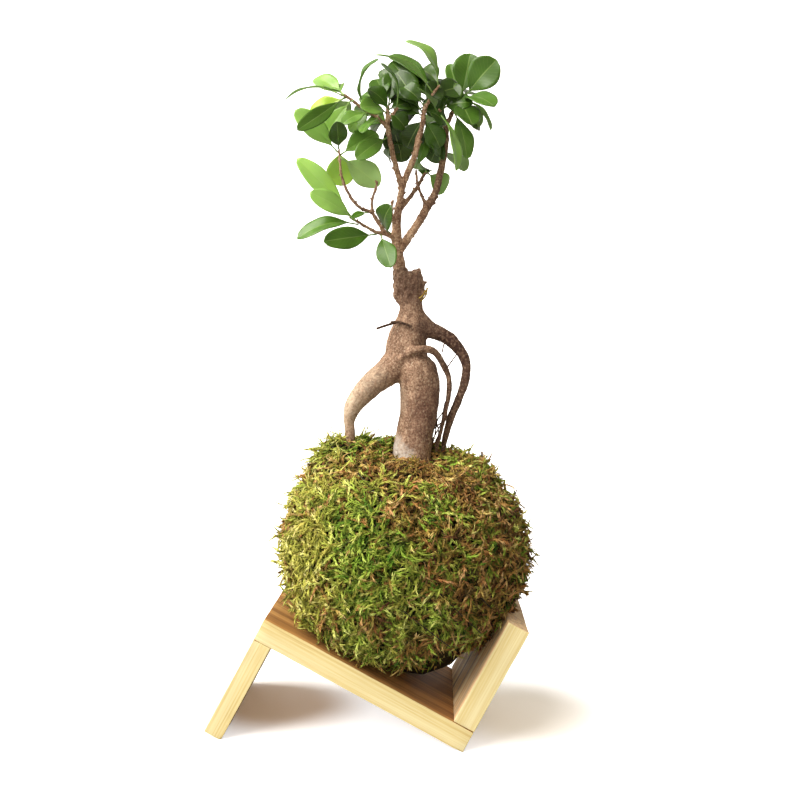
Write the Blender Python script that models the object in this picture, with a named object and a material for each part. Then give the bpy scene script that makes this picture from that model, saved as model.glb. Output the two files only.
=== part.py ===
# Kokedama: a grafted ginseng fig whose roots grow in a moss-covered ball of soil, resting in the V
# of a tilted stand made of three boards.
#
# World frame: +X to the right along the stand, +Y from its front to its back, +Z up, metres.
# Sizes below are millimetres. The drawing frame that they are given in has its origin at the seat
# board's lower right front corner; the root empty moves it so that the object stands centred on Z = 0.

import math

import bmesh
import bpy
from mathutils import Vector, noise

MM = 0.001
GAP = 0.3                     # play between pieces that touch

# ---- stand: three boards, butted and dowelled ----
SEAT_LENGTH = 130.0
SEAT_THICK = 12.9
LEG_THICK = 10.8
STOP_THICK = 12.8
STOP_HEIGHT = 62.9
STAND_DEPTH = 93.0
TILT = math.radians(26.2)     # the seat runs down to the right
LEG_LENGTH = (SEAT_LENGTH - LEG_THICK) * math.tan(TILT)
FOOT_CUT = 0.8                # depth of the worn flat where a lower edge meets the floor
EDGE_EASE = 0.5
DOWEL_RADIUS = 2.5
DOWEL_IN_SEAT = 7.5
DOWEL_IN_END = 13.0
DOWEL_INSET = 24.0            # from the front and back edges

# ---- ball: an upright ellipsoid pressed flat where it rests ----
BALL_CENTRE = Vector((-38.0, 48.0, 100.0))
BALL_ACROSS = 70.0            # half axis, level
BALL_UP = 66.0                # half axis, upright
MOSS_THICK = 7.0
BALL_LUMP = 1.6               # height of the uneven swells in the moss
CROWN_POINT = Vector((-33.0, 33.0, 150.0))
CROWN_DIP = 12.0              # the moss is lower in front of the trunk's foot
CROWN_SPREAD = math.radians(16.0)
SOCKET_PLAY = 0.45            # round the roots, in the soil and the moss

# ---- thread: one length wound twice round the ball, clear of both boards ----
THREAD_RADIUS = 0.45
THREAD_LIFT = 0.9             # centre of the thread above the moss
THREAD_POLE = Vector((0.78, 0.30, 0.55)).normalized()
THREAD_FIRST = math.radians(91.5)
THREAD_LAST = math.radians(109.0)
THREAD_TURNS = 2.0
THREAD_POINTS = 120

# ---- rootstock: swollen trunk and roots, each a list of (x, y, z, radius) ----
ROOTS = {
    "torso": [(-42, 48, 263, 7.8), (-40.5, 48, 256, 9.1), (-39.5, 48, 248, 7.6), (-38.7, 48, 244, 6.8),
              (-38.5, 48, 239, 7.6), (-38.6, 48, 233, 9.8), (-40.6, 48, 221, 11.8),
              (-39.8, 48, 214, 12.2), (-36, 47, 204, 9.5)],
    "main_root": [(-34, 44.5, 215, 7.5), (-34, 44.5, 210, 10.6), (-32, 45, 200, 11.8),
                  (-31.5, 45, 191, 11.6), (-32, 45, 180, 10.9), (-33.5, 45, 170, 10.8),
                  (-34.7, 45, 161, 11.3), (-35, 45, 152, 11.3), (-35.5, 46, 142, 9.0),
                  (-36, 47, 130, 5.5)],
    "left_root": [(-44, 46, 211, 10.0), (-52, 44, 204, 7.8), (-57, 42, 200, 7.3), (-64, 40, 193, 6.4),
                  (-69, 39, 186, 5.4), (-71, 38, 180, 4.2), (-71.5, 38, 175, 3.1),
                  (-70.5, 38, 168, 2.9), (-69.5, 38.5, 157, 2.5), (-68, 39.5, 146, 1.9)],
    "arm_root": [(-36, 48, 236, 7.0), (-27, 50, 230.5, 5.0), (-19, 52, 227.5, 4.1),
                 (-13, 53, 223.5, 3.8), (-7.5, 54, 217, 3.2), (-5, 54, 211, 2.7), (-5, 54, 204, 2.7),
                 (-7, 54, 196, 2.6), (-10, 54, 187, 2.4), (-13, 54, 179, 2.3), (-15, 54, 171, 2.0),
                 (-16.5, 54, 163, 1.7), (-17.5, 54, 151, 1.3)],
    "cross_root": [(-45, 40, 212, 1.6), (-38, 36.3, 217, 2.0), (-32, 35.3, 219.3, 2.2),
                   (-25, 37.5, 218.5, 2.3), (-21, 41, 214.5, 2.1), (-18, 44, 209.5, 2.0),
                   (-15.3, 46, 204, 1.8), (-14.5, 47, 198, 1.6), (-15, 47.5, 191, 1.5),
                   (-16.5, 47.5, 181, 1.4), (-18.5, 47.5, 172, 1.3), (-20.5, 48, 163, 1.3),
                   (-22.5, 48.5, 151, 1.2)],
    "cut_stub": [(-38, 48, 259, 3.4), (-35, 46.5, 264.5, 1.7)],
    "side_stub": [(-37, 47, 255, 3.2), (-30.8, 46, 257.5, 1.4)],
    "old_bud": [(-36, 46, 250, 3.0), (-29.8, 45, 251.5, 1.4)],
    "graft_swell": [(-47, 46, 252, 3.2), (-44, 46, 247, 3.4)],
}
ROOT_VOXEL = 0.8
ROOT_KEEP = 0.035             # share of the fine faces that the trunk keeps

# ---- grafted stem and its twigs; the first one is the stem, the rest grow out of it ----
TWIGS = {
    "stem": [(-46, 48, 263.4, 4.1), (-46.6, 48, 268, 3.7), (-48, 48, 277, 3.2), (-49, 48, 292, 2.7),
             (-47.5, 48, 303, 2.2), (-46, 48, 316, 1.9)],
    "left_fork": [(-46, 48, 311, 1.9), (-51, 46, 325, 1.7), (-53, 45, 333, 1.6), (-55, 44, 341, 1.6),
                  (-56, 43, 348, 1.4), (-56, 42, 357, 1.0)],
    "left_stub": [(-56, 43, 348, 1.1), (-50, 40, 356, 0.8)],
    "upper_left": [(-55.5, 43.5, 345, 1.4), (-62, 40, 350, 1.1), (-70, 38, 354, 1.0),
                   (-76, 36, 358, 0.9), (-82, 34, 361, 0.8)],
    "right_fork": [(-47, 48, 311, 2.0), (-42, 46, 324, 2.0), (-39, 44, 332, 1.9), (-38, 42, 339, 1.8),
                   (-36, 42, 346, 1.6), (-35, 40, 358, 1.2)],
    "crown_twig": [(-35.3, 40.5, 355, 1.1), (-31, 40, 363, 1.0), (-27, 41, 369, 0.8)],
    "right_branch": [(-46.5, 48.5, 276, 2.6), (-39, 50, 288, 2.5), (-35, 52, 295, 2.5), (-31, 54, 303, 2.4),
                     (-27, 56, 311, 2.2), (-25, 58, 322, 2.1), (-23, 58, 333, 1.9),
                     (-22, 58, 341, 1.7), (-22, 58, 350, 1.4), (-18, 57, 360, 1.2), (-12, 56, 367, 0.9)],
    "right_front": [(-22, 58, 346, 1.2), (-25, 49, 353, 1.0), (-27, 42, 356, 0.8)],
    "mid_branch": [(-47.5, 48.5, 299, 1.6), (-40, 54, 310, 1.3), (-36, 58, 318, 1.1), (-33, 60, 324, 0.9)],
    "thin_twig": [(-31.5, 54, 302, 1.1), (-37, 50, 312, 0.9), (-39, 49, 323, 0.8)],
    "stem_stub": [(-49, 48, 288, 1.4), (-52, 44, 297, 0.9), (-51, 42, 304, 0.7)],
    "left_twig": [(-49, 48, 282, 1.5), (-56, 42, 286, 1.2), (-62, 38, 295, 1.1), (-68, 36, 297, 1.0),
                  (-73, 34, 301, 0.9), (-77, 33, 307, 0.9), (-80, 32, 314, 0.8), (-81, 31, 321, 0.8),
                  (-82, 30, 329, 0.8)],
    "left_spur": [(-62, 38, 294.5, 1.0), (-63, 37, 302, 0.9), (-61, 36, 308, 0.8), (-60, 35, 313, 0.7)],
    "low_twig": [(-53, 44.5, 284, 1.3), (-61, 38, 285, 1.0), (-69, 34, 289, 0.9), (-75, 32, 292, 0.8)],
}
STEM_SIDES = 10
TWIG_SIDES = 7

# ---- leaves: twig, station along its points, tip, blade width, the way its upper face looks, bow ----
FRONT = (0.1, -1.0, 0.35)
FLAT = (0.0, -1.0, 0.0)
HIGH = (0.0, -0.45, 1.0)
BACK = (0.0, 0.9, 0.5)
LEAVES = [
    ("low_twig", 2.95, (-105, 28, 323), 15.0, FRONT, 2.0),
    ("low_twig", 2.60, (-96, 19, 303), 14.5, FRONT, 2.5),
    ("low_twig", 2.25, (-103, 25, 278), 16.0, (0.0, -0.75, 0.75), 5.0),
    ("low_twig", 0.95, (-87, 15, 276), 15.5, FLAT, 1.0),
    ("low_twig", 0.60, (-50, 26, 264), 12.0, FLAT, 1.0),
    ("left_twig", 0.70, (-51, 24, 298), 15.0, (-0.6, -0.9, 0.1), 4.0),
    ("left_twig", 7.90, (-81, 43, 311), 16.5, FLAT, -3.0),
    ("left_twig", 7.40, (-59, 38, 311), 16.0, BACK, 2.0),
    ("left_fork", 2.80, (-72, 29, 324), 14.0, FRONT, 2.0),
    ("left_twig", 7.70, (-62, 45, 342), 14.0, FRONT, 1.0),
    ("left_twig", 8.00, (-82, 14, 341), 13.0, FRONT, 1.0),
    ("left_twig", 7.95, (-106, 21, 348), 16.0, FRONT, 1.5),
    ("upper_left", 3.65, (-102, 6, 334), 11.5, (0.2, -1.0, 0.1), -1.0),
    ("upper_left", 3.60, (-101, 46, 352), 14.0, FRONT, 1.0),
    ("upper_left", 4.00, (-113, 31, 356), 11.0, (0.1, -0.25, 1.0), 5.0),
    ("upper_left", 3.75, (-99, 52, 374), 15.0, FRONT, 1.5),
    ("upper_left", 3.10, (-90, 34, 338), 12.0, FRONT, 1.0),
    ("upper_left", 1.60, (-80, 26, 342), 12.0, (0.0, -0.8, 0.7), 2.0),
    ("upper_left", 0.80, (-68, 18, 336), 11.0, (-0.5, -0.9, 0.4), 2.0),
    ("upper_left", 2.10, (-61, 22, 377), 12.0, (-1.0, -0.15, 0.4), 5.5),
    ("left_stub", 1.00, (-60, 26, 376), 11.0, (0.9, -0.2, 0.6), 4.0),
    ("crown_twig", 1.20, (-62, 14, 377), 12.0, (0.0, -0.25, 1.0), 5.0),
    ("right_fork", 4.70, (-52, 46, 377), 18.0, FLAT, 2.0),
    ("crown_twig", 0.50, (-63, 64, 382), 14.0, FLAT, 2.0),
    ("crown_twig", 1.40, (-57, 56, 389), 13.0, (0.0, -0.7, 0.8), 4.0),
    ("crown_twig", 1.95, (-43, 70, 383), 13.0, (0.0, -0.3, 1.0), 3.0),
    ("left_fork", 4.95, (-71, 54, 366), 18.0, FRONT, 1.5),
    ("left_fork", 4.60, (-70, 24, 351), 15.0, (0.2, -0.9, 0.5), 2.0),
    ("left_stub", 0.75, (-48, 62, 329), 16.0, FLAT, 2.0),
    ("left_fork", 2.20, (-55, 60, 330), 10.0, (-0.4, -0.9, 0.0), 1.5),
    ("right_fork", 4.20, (-40, 70, 335), 13.0, FLAT, 2.0),
    ("right_front", 1.95, (-38, 20, 361), 13.0, (0.0, -0.8, 0.7), 1.5),
    ("right_branch", 8.40, (-35, 78, 343), 16.0, FRONT, 1.5),
    ("right_front", 1.50, (-16, 34, 320), 11.0, (0.9, -0.6, 0.3), 4.0),
    ("right_branch", 8.80, (-10, 46, 329), 13.0, (0.6, -0.9, 0.2), 2.0),
    ("right_branch", 9.85, (-10, 58, 392), 15.0, FRONT, 1.5),
    ("right_branch", 10.0, (5, 48, 386), 17.0, FRONT, 1.5),
    ("right_branch", 9.55, (-22, 70, 389), 11.0, FRONT, 1.5),
    ("crown_twig", 2.00, (-47, 34, 391), 13.0, (0.55, -0.6, 0.7), 6.0),
    ("right_branch", 9.65, (4, 30, 355), 16.0, (0.0, -0.8, 0.8), 4.0),
    ("right_branch", 9.90, (4, 66, 350), 9.0, (0.9, 0.2, 0.6), 3.0),
    ("right_branch", 9.00, (-2, 78, 354), 12.0, FRONT, 2.0),
    ("mid_branch", 2.95, (-21, 74, 316), 14.0, FLAT, 1.5),
    ("mid_branch", 2.40, (-33, 78, 327), 9.0, HIGH, 1.5),
    ("right_branch", 5.70, (-31, 46, 339), 9.0, (0.2, -0.9, 0.5), 1.0),
    ("thin_twig", 2.00, (-34, 49, 341), 8.0, (0.7, -0.7, 0.2), 1.0),
    ("left_twig", 2.60, (-73, 27, 291), 5.5, (0.0, -0.8, 0.6), 0.8),
    ("right_branch", 9.40, (-8, 28, 344), 15.0, FRONT, 2.0),
]
LEAF_HALF_THICK = 0.45
LEAF_FOLD = 0.20              # rise of the edges over the midrib, as a share of the half width
PETIOLE_SHARE = 0.11
PETIOLE_HALF = 0.42
STALK_PLAY = 0.25
BLADE_STATIONS = (0.03, 0.14, 0.32, 0.52, 0.72, 0.89, 1.0)


# ---------------------------------------------------------------- helpers

def clear_scene():
    for old in list(bpy.data.objects):
        bpy.data.objects.remove(old, do_unlink=True)


def make_material(name, red, green, blue, roughness):
    material = bpy.data.materials.new(name)
    material.use_nodes = True
    shader = material.node_tree.nodes["Principled BSDF"]
    shader.inputs["Base Color"].default_value = (red, green, blue, 1.0)
    shader.inputs["Roughness"].default_value = roughness
    shader.inputs["Metallic"].default_value = 0.0
    return material


def add_empty(name, parent=None):
    empty = bpy.data.objects.new(name, None)
    bpy.context.scene.collection.objects.link(empty)
    empty.parent = parent
    return empty


def add_mesh(name, points, faces, material, parent, smooth=True):
    """A mesh object from points in millimetres."""
    mesh = bpy.data.meshes.new(name)
    mesh.from_pydata([Vector(point) * MM for point in points], [], faces)
    mesh.update()
    if smooth:
        mesh.shade_smooth()
    item = bpy.data.objects.new(name, mesh)
    bpy.context.scene.collection.objects.link(item)
    if material:
        mesh.materials.append(material)
    item.parent = parent
    return item


def hide_tool(item):
    item.hide_render = True
    item.display_type = "WIRE"
    return item


def add_boolean(item, tool, operation):
    modifier = item.modifiers.new(operation.lower() + "_" + tool.name, "BOOLEAN")
    modifier.operation = operation
    modifier.object = tool
    modifier.solver = "EXACT"
    return modifier


def add_box(name, low, high, material, parent):
    corners = [(low[0], low[1], low[2]), (high[0], low[1], low[2]),
               (high[0], high[1], low[2]), (low[0], high[1], low[2]),
               (low[0], low[1], high[2]), (high[0], low[1], high[2]),
               (high[0], high[1], high[2]), (low[0], high[1], high[2])]
    faces = [(0, 3, 2, 1), (4, 5, 6, 7), (0, 1, 5, 4), (1, 2, 6, 5), (2, 3, 7, 6), (3, 0, 4, 7)]
    return add_mesh(name, corners, faces, material, parent, smooth=False)


def smooth_path(points, spans):
    """Catmull-Rom curve through (x, y, z, radius) points."""
    table = [Vector(point) for point in points]
    table = [table[0] * 2 - table[1]] + table + [table[-1] * 2 - table[-2]]
    path = []
    for index in range(1, len(table) - 2):
        before, here, there, after = table[index - 1:index + 3]
        for step in range(spans):
            t = step / spans
            path.append(0.5 * ((here * 2) + (there - before) * t
                               + (before * 2 - here * 5 + there * 4 - after) * t * t
                               + (here * 3 - before - there * 3 + after) * t * t * t))
    path.append(table[-2])
    return path


def ring_frames(centres, closed=False):
    """Side and normal vectors along a path, turned as little as possible."""
    count = len(centres)
    tangents = []
    for index in range(count):
        if closed:
            ahead = centres[(index + 1) % count]
            behind = centres[index - 1]
        else:
            ahead = centres[min(index + 1, count - 1)]
            behind = centres[max(index - 1, 0)]
        tangents.append((ahead - behind).normalized())
    side = tangents[0].orthogonal().normalized()
    frames = []
    for tangent in tangents:
        side = (side - tangent * side.dot(tangent)).normalized()
        frames.append((side, tangent.cross(side)))
    return frames


def tube_shape(path, sides):
    """Points and faces of a closed tube along a path of (x, y, z, radius)."""
    centres = [Vector(point[:3]) for point in path]
    points = []
    for centre, place, (side, normal) in zip(centres, path, ring_frames(centres)):
        for index in range(sides):
            angle = 2 * math.pi * index / sides
            points.append(centre + (side * math.cos(angle) + normal * math.sin(angle)) * place[3])
    faces = [tuple(reversed(range(sides)))]
    for ring in range(len(path) - 1):
        for index in range(sides):
            near = ring * sides
            far = near + sides
            after = (index + 1) % sides
            faces.append((near + index, near + after, far + after, far + index))
    faces.append(tuple(range(len(points) - sides, len(points))))
    return points, faces


def join_shapes(shapes):
    points = []
    faces = []
    for shape_points, shape_faces in shapes:
        offset = len(points)
        points.extend(shape_points)
        faces.extend(tuple(index + offset for index in face) for face in shape_faces)
    return points, faces


# ---------------------------------------------------------------- stand

def add_dowel(name, along, span, across, tilt, material):
    """A dowel square to the seat board, over a span measured from the seat's underside."""
    lower, upper = span
    path = [(along, across, lower, DOWEL_RADIUS), (along, across, upper, DOWEL_RADIUS)]
    points, faces = tube_shape(path, 16)
    return add_mesh(name, points, faces, material, tilt)


def drill(boards, name, along, span, across, tilt):
    """The blind hole of one dowel, in both boards that it joins."""
    lower, upper = span
    radius = DOWEL_RADIUS + GAP
    path = [(along, across, lower - 2 * GAP, radius), (along, across, upper + 2 * GAP, radius)]
    points, faces = tube_shape(path, 16)
    tool = hide_tool(add_mesh(name, points, faces, None, tilt))
    for board in boards:
        add_boolean(board, tool, "DIFFERENCE")


def build_stand(root, wood, dowel_wood):
    """Boards in a frame whose X runs down along the seat and whose Z is the seat's normal."""
    tilt = add_empty("stand_tilt", root)
    tilt.rotation_euler = (0.0, TILT, 0.0)
    seat = add_box("seat_board", (-SEAT_LENGTH, 0, 0), (0, STAND_DEPTH, SEAT_THICK), wood, tilt)
    leg = add_box("leg_board", (-SEAT_LENGTH, 0, -LEG_LENGTH),
                  (-SEAT_LENGTH + LEG_THICK, STAND_DEPTH, -GAP), wood, tilt)
    stop = add_box("stop_board", (-STOP_THICK, 0, SEAT_THICK + GAP),
                   (0, STAND_DEPTH, SEAT_THICK + STOP_HEIGHT), wood, tilt)
    for board in (seat, leg, stop):
        ease = board.modifiers.new("eased_edges", "BEVEL")
        ease.width = EDGE_EASE * MM
        ease.segments = 1
    floor = hide_tool(add_box("floor_tool", (-200, -20, -30), (60, STAND_DEPTH + 20, FOOT_CUT), None, root))
    add_boolean(seat, floor, "DIFFERENCE")
    add_boolean(leg, floor, "DIFFERENCE")
    leg_span = (-DOWEL_IN_END, DOWEL_IN_SEAT)
    stop_span = (SEAT_THICK - DOWEL_IN_SEAT, SEAT_THICK + DOWEL_IN_END)
    for label, across in (("front", DOWEL_INSET), ("back", STAND_DEPTH - DOWEL_INSET)):
        along = -SEAT_LENGTH + LEG_THICK / 2
        add_dowel("leg_dowel_" + label, along, leg_span, across, tilt, dowel_wood)
        drill((seat, leg), "leg_drill_" + label, along, leg_span, across, tilt)
        along = -STOP_THICK / 2
        add_dowel("stop_dowel_" + label, along, stop_span, across, tilt, dowel_wood)
        drill((seat, stop), "stop_drill_" + label, along, stop_span, across, tilt)


# ---------------------------------------------------------------- ball

def board_limits():
    """Direction and distance from the ball's centre to the seat's top and the stop's inner face."""
    down_seat = Vector((math.cos(TILT), 0.0, -math.sin(TILT)))
    off_seat = Vector((math.sin(TILT), 0.0, math.cos(TILT)))
    to_seat = BALL_CENTRE.dot(off_seat) - SEAT_THICK
    to_stop = -STOP_THICK - BALL_CENTRE.dot(down_seat)
    return [(-off_seat, to_seat - GAP), (down_seat, to_stop - GAP)]


def ball_point(direction, inset):
    """A point of the ball's surface, inset millimetres under the moss's outer face."""
    level = (direction.x ** 2 + direction.y ** 2) / BALL_ACROSS ** 2
    radius = 1.0 / math.sqrt(level + direction.z ** 2 / BALL_UP ** 2)
    radius += BALL_LUMP * noise.noise(direction * 2.6)
    away = direction.angle((CROWN_POINT - BALL_CENTRE).normalized())
    radius -= CROWN_DIP * math.exp(-0.5 * (away / CROWN_SPREAD) ** 2)
    radius -= inset
    for normal, distance in board_limits():
        facing = direction.dot(normal)
        if facing > 0.1:
            radius = min(radius, (distance - inset) / facing)
    return BALL_CENTRE + direction * radius


def ball_shape(inset, divisions, inward=False):
    """Icosphere directions pushed out to the ball's surface."""
    globe = bmesh.new()
    bmesh.ops.create_icosphere(globe, subdivisions=divisions, radius=1.0)
    globe.verts.ensure_lookup_table()
    points = [ball_point(vert.co.normalized(), inset) for vert in globe.verts]
    faces = [tuple(vert.index for vert in face.verts) for face in globe.faces]
    globe.free()
    if inward:
        faces = [tuple(reversed(face)) for face in faces]
    return points, faces


def build_ball(root, trunk, soil_material, moss_material):
    socket = hide_tool(trunk.copy())
    socket.name = "socket_tool"
    bpy.context.scene.collection.objects.link(socket)
    swell = socket.modifiers.new("play", "DISPLACE")
    swell.strength = SOCKET_PLAY * MM
    swell.mid_level = 0.0

    points, faces = ball_shape(MOSS_THICK + GAP, 3)
    soil = add_mesh("soil_core", points, faces, soil_material, root)
    add_boolean(soil, socket, "DIFFERENCE")

    outer = ball_shape(0.0, 4)
    inner = ball_shape(MOSS_THICK, 3, inward=True)
    points, faces = join_shapes([outer, inner])
    moss = add_mesh("moss_cover", points, faces, moss_material, root)
    add_boolean(moss, socket, "DIFFERENCE")


def build_thread(root, material):
    """A spiral of small circles about the pole, drawn out to the moss's face."""
    east = THREAD_POLE.orthogonal().normalized()
    north = THREAD_POLE.cross(east)
    path = []
    for index in range(THREAD_POINTS):
        share = index / (THREAD_POINTS - 1)
        tilt = THREAD_FIRST + (THREAD_LAST - THREAD_FIRST) * share
        turn = 2 * math.pi * THREAD_TURNS * share
        around = east * math.cos(turn) + north * math.sin(turn)
        direction = THREAD_POLE * math.cos(tilt) + around * math.sin(tilt)
        place = ball_point(direction, 0.0) + direction * THREAD_LIFT
        path.append((place.x, place.y, place.z, THREAD_RADIUS))
    points, faces = tube_shape(path, 5)
    add_mesh("binding_thread", points, faces, material, root)


# ---------------------------------------------------------------- trunk and branches

def build_trunk(root, material):
    """All roots as overlapping tubes, fused into one skin."""
    shapes = [tube_shape(smooth_path(points, 4), 20) for points in ROOTS.values()]
    points, faces = join_shapes(shapes)
    trunk = add_mesh("rootstock", points, faces, material, root)
    fuse = trunk.modifiers.new("fuse", "REMESH")
    fuse.mode = "VOXEL"
    fuse.voxel_size = ROOT_VOXEL * MM
    fuse.use_smooth_shade = True
    even = trunk.modifiers.new("even", "SMOOTH")
    even.factor = 0.5
    even.iterations = 3
    thin = trunk.modifiers.new("thin", "DECIMATE")
    thin.ratio = ROOT_KEEP
    thin.use_collapse_triangulate = True
    return trunk


def build_branches(root, material):
    """The grafted stem with every twig united to it."""
    stem = None
    for name, points in TWIGS.items():
        is_stem = stem is None
        sides = STEM_SIDES if is_stem or name == "right_branch" else TWIG_SIDES
        shape_points, faces = tube_shape(smooth_path(points, 2), sides)
        if is_stem:
            stem = add_mesh("grafted_stem", shape_points, faces, material, root)
        else:
            twig = hide_tool(add_mesh("tool_" + name, shape_points, faces, None, root))
            add_boolean(stem, twig, "UNION")
    return stem


# ---------------------------------------------------------------- leaves

def twig_place(name, station):
    """Point, direction and radius at a station along a twig, on the same curve as its tube."""
    path = smooth_path(TWIGS[name], 20)
    index = min(int(round(station * 20)), len(path) - 1)
    here = Vector(path[index][:3])
    before = Vector(path[index - 1][:3])
    return here, (here - before).normalized(), path[index][3]


def stalk_start(name, station, tip):
    """Where a leaf's stalk meets its twig: off the twig's side, or off its end."""
    centre, along, radius = twig_place(name, station)
    outward = (tip - centre).normalized()
    if station < len(TWIGS[name]) - 1:
        outward = (outward - along * outward.dot(along)).normalized()
    reach = radius * outward.cross(along).length
    return centre + outward * (reach + GAP + STALK_PLAY)


def blade_profile(share):
    """Half width over the blade's length: widest past the middle, with a short blunt tip."""
    return math.sin(math.pi * share ** 1.08) ** 0.8


def leaf_shape(start, tip, width, face, bow):
    """A folded, bowed blade on a short stalk, four points to a ring: edge, top, edge, underside."""
    axis = tip - start
    length = axis.length
    axis.normalize()
    normal = (face - axis * face.dot(axis)).normalized()
    side = axis.cross(normal)
    rings = [(0.0, PETIOLE_HALF, PETIOLE_HALF, 0.0)]
    for station in BLADE_STATIONS:
        half = max(0.5 * width * blade_profile(min(station, 0.999)), 0.35)
        thick = LEAF_HALF_THICK * (1.0 - 0.6 * station)
        share = PETIOLE_SHARE + (1.0 - PETIOLE_SHARE) * station
        rings.append((share, half, thick, half * LEAF_FOLD))
    points = []
    for share, half, thick, fold in rings:
        middle = start + axis * length * share + normal * bow * 4 * share * (1 - share)
        points.append(middle + side * half + normal * fold)
        points.append(middle + normal * thick)
        points.append(middle - side * half + normal * fold)
        points.append(middle - normal * thick)
    faces = [(0, 1, 2, 3)]
    for ring in range(len(rings) - 1):
        for index in range(4):
            near = ring * 4
            after = (index + 1) % 4
            faces.append((near + 4 + index, near + 4 + after, near + after, near + index))
    last = len(points) - 4
    faces.append((last + 3, last + 2, last + 1, last))
    return points, faces


def build_leaves(root, materials):
    for index, (twig, station, tip, width, face, bow) in enumerate(LEAVES):
        tip = Vector(tip)
        start = stalk_start(twig, station, tip)
        points, faces = leaf_shape(start, tip, width, Vector(face), bow)
        material = materials[index % len(materials)]      # young, grown and old greens by turns
        add_mesh("leaf_%02d" % (index + 1), points, faces, material, root)


# ---------------------------------------------------------------- assembly

def centre_on_floor(root):
    """Move the root so that the whole object stands centred on the origin."""
    bpy.context.view_layer.update()
    graph = bpy.context.evaluated_depsgraph_get()
    low = Vector((1e9, 1e9, 1e9))
    high = -low
    for item in bpy.context.scene.objects:
        if item.type != "MESH" or item.hide_render:
            continue
        final = item.evaluated_get(graph)
        for vertex in final.data.vertices:
            place = final.matrix_world @ vertex.co
            low = Vector(map(min, low, place))
            high = Vector(map(max, high, place))
    root.location = (-(low.x + high.x) / 2, -(low.y + high.y) / 2, -low.z)


def main():
    clear_scene()
    root = add_empty("kokedama")
    wood = make_material("pine_board", 0.62, 0.42, 0.20, 0.6)
    dowel_wood = make_material("beech_dowel", 0.60, 0.43, 0.26, 0.6)
    bark = make_material("fig_bark", 0.27, 0.17, 0.11, 0.8)
    twig_bark = make_material("twig_bark", 0.30, 0.20, 0.13, 0.75)
    soil = make_material("packed_soil", 0.04, 0.025, 0.015, 0.95)
    moss = make_material("sheet_moss", 0.20, 0.27, 0.05, 0.95)
    thread = make_material("nylon_thread", 0.03, 0.03, 0.03, 0.5)
    greens = [make_material("leaf_bright", 0.12, 0.30, 0.03, 0.35),
              make_material("leaf_green", 0.07, 0.20, 0.02, 0.35),
              make_material("leaf_dark", 0.03, 0.11, 0.02, 0.35)]
    build_stand(root, wood, dowel_wood)
    trunk = build_trunk(root, bark)
    build_branches(root, twig_bark)
    build_leaves(root, greens)
    build_ball(root, trunk, soil, moss)
    build_thread(root, thread)
    centre_on_floor(root)


main()
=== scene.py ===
# Kokedama: the looks of a grafted fig in a moss ball on a tilted pine stand.
import math

import bmesh
import bpy
import numpy as np
from mathutils import Matrix, Vector, noise
from mathutils.bvhtree import BVHTree


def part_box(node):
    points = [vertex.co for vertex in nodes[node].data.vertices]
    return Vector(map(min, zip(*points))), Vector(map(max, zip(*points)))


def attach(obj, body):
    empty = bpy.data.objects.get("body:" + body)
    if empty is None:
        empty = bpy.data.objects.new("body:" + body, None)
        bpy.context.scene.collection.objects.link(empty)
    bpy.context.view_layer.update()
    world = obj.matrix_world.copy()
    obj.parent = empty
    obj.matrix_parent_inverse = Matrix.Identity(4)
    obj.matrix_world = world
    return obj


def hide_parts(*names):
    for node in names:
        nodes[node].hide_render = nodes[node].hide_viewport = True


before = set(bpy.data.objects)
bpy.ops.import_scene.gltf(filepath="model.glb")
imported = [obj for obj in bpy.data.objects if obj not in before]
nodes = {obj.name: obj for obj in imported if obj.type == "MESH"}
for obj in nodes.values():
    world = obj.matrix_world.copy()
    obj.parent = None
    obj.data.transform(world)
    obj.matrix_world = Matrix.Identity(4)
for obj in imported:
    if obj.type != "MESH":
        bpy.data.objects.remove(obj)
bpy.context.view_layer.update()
mm = 0.001
bpy.ops.object.select_all(action="DESELECT")
print("frame loaded:", len(nodes), "nodes")


# small helpers

def hexColour(code, alpha=1.0):
    channels = [int(code[i:i + 2], 16) / 255 for i in (1, 3, 5)]
    linear = [c / 12.92 if c <= 0.04045 else ((c + 0.055) / 1.055) ** 2.4 for c in channels]
    return (*linear, alpha)


def addNode(tree, kind, inputs=None, stops=None, **settings):
    node = tree.nodes.new(kind)
    for name, value in settings.items():
        setattr(node, name, value)
    for socket, value in (inputs or {}).items():
        if isinstance(value, bpy.types.NodeSocket):
            tree.links.new(value, node.inputs[socket])
        else:
            node.inputs[socket].default_value = value
    for index, (place, code) in enumerate(stops or []):
        ramp = node.color_ramp.elements
        element = ramp[index] if index < 2 else ramp.new(place)
        element.position = place
        element.color = hexColour(code)
    return node


def newMaterial(name, roughness):
    material = bpy.data.materials.new(name)
    material.use_nodes = True
    tree = material.node_tree
    shader = tree.nodes["Principled BSDF"]
    shader.inputs["Roughness"].default_value = roughness
    return material, tree, shader


def objectCoords(tree):
    return addNode(tree, "ShaderNodeTexCoord").outputs["Object"]


def attribute(tree, label):
    return addNode(tree, "ShaderNodeAttribute", attribute_name=label).outputs["Fac"]


def mapped(tree, coords, **settings):
    return addNode(tree, "ShaderNodeMapping", {"Vector": coords, **settings}).outputs[0]


def cloudy(tree, coords, scale, detail, roughness=0.5, distortion=0.0):
    return addNode(tree, "ShaderNodeTexNoise",
                   {"Vector": coords, "Scale": scale, "Detail": detail, "Roughness": roughness,
                    "Distortion": distortion}).outputs["Fac"]


def maths(tree, operation, *values):
    return addNode(tree, "ShaderNodeMath", dict(enumerate(values)), operation=operation).outputs[0]


def distanceFrom(tree, coords, centre):
    return addNode(tree, "ShaderNodeVectorMath", {0: coords, 1: tuple(c * mm for c in centre)},
                   operation="DISTANCE").outputs["Value"]


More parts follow.
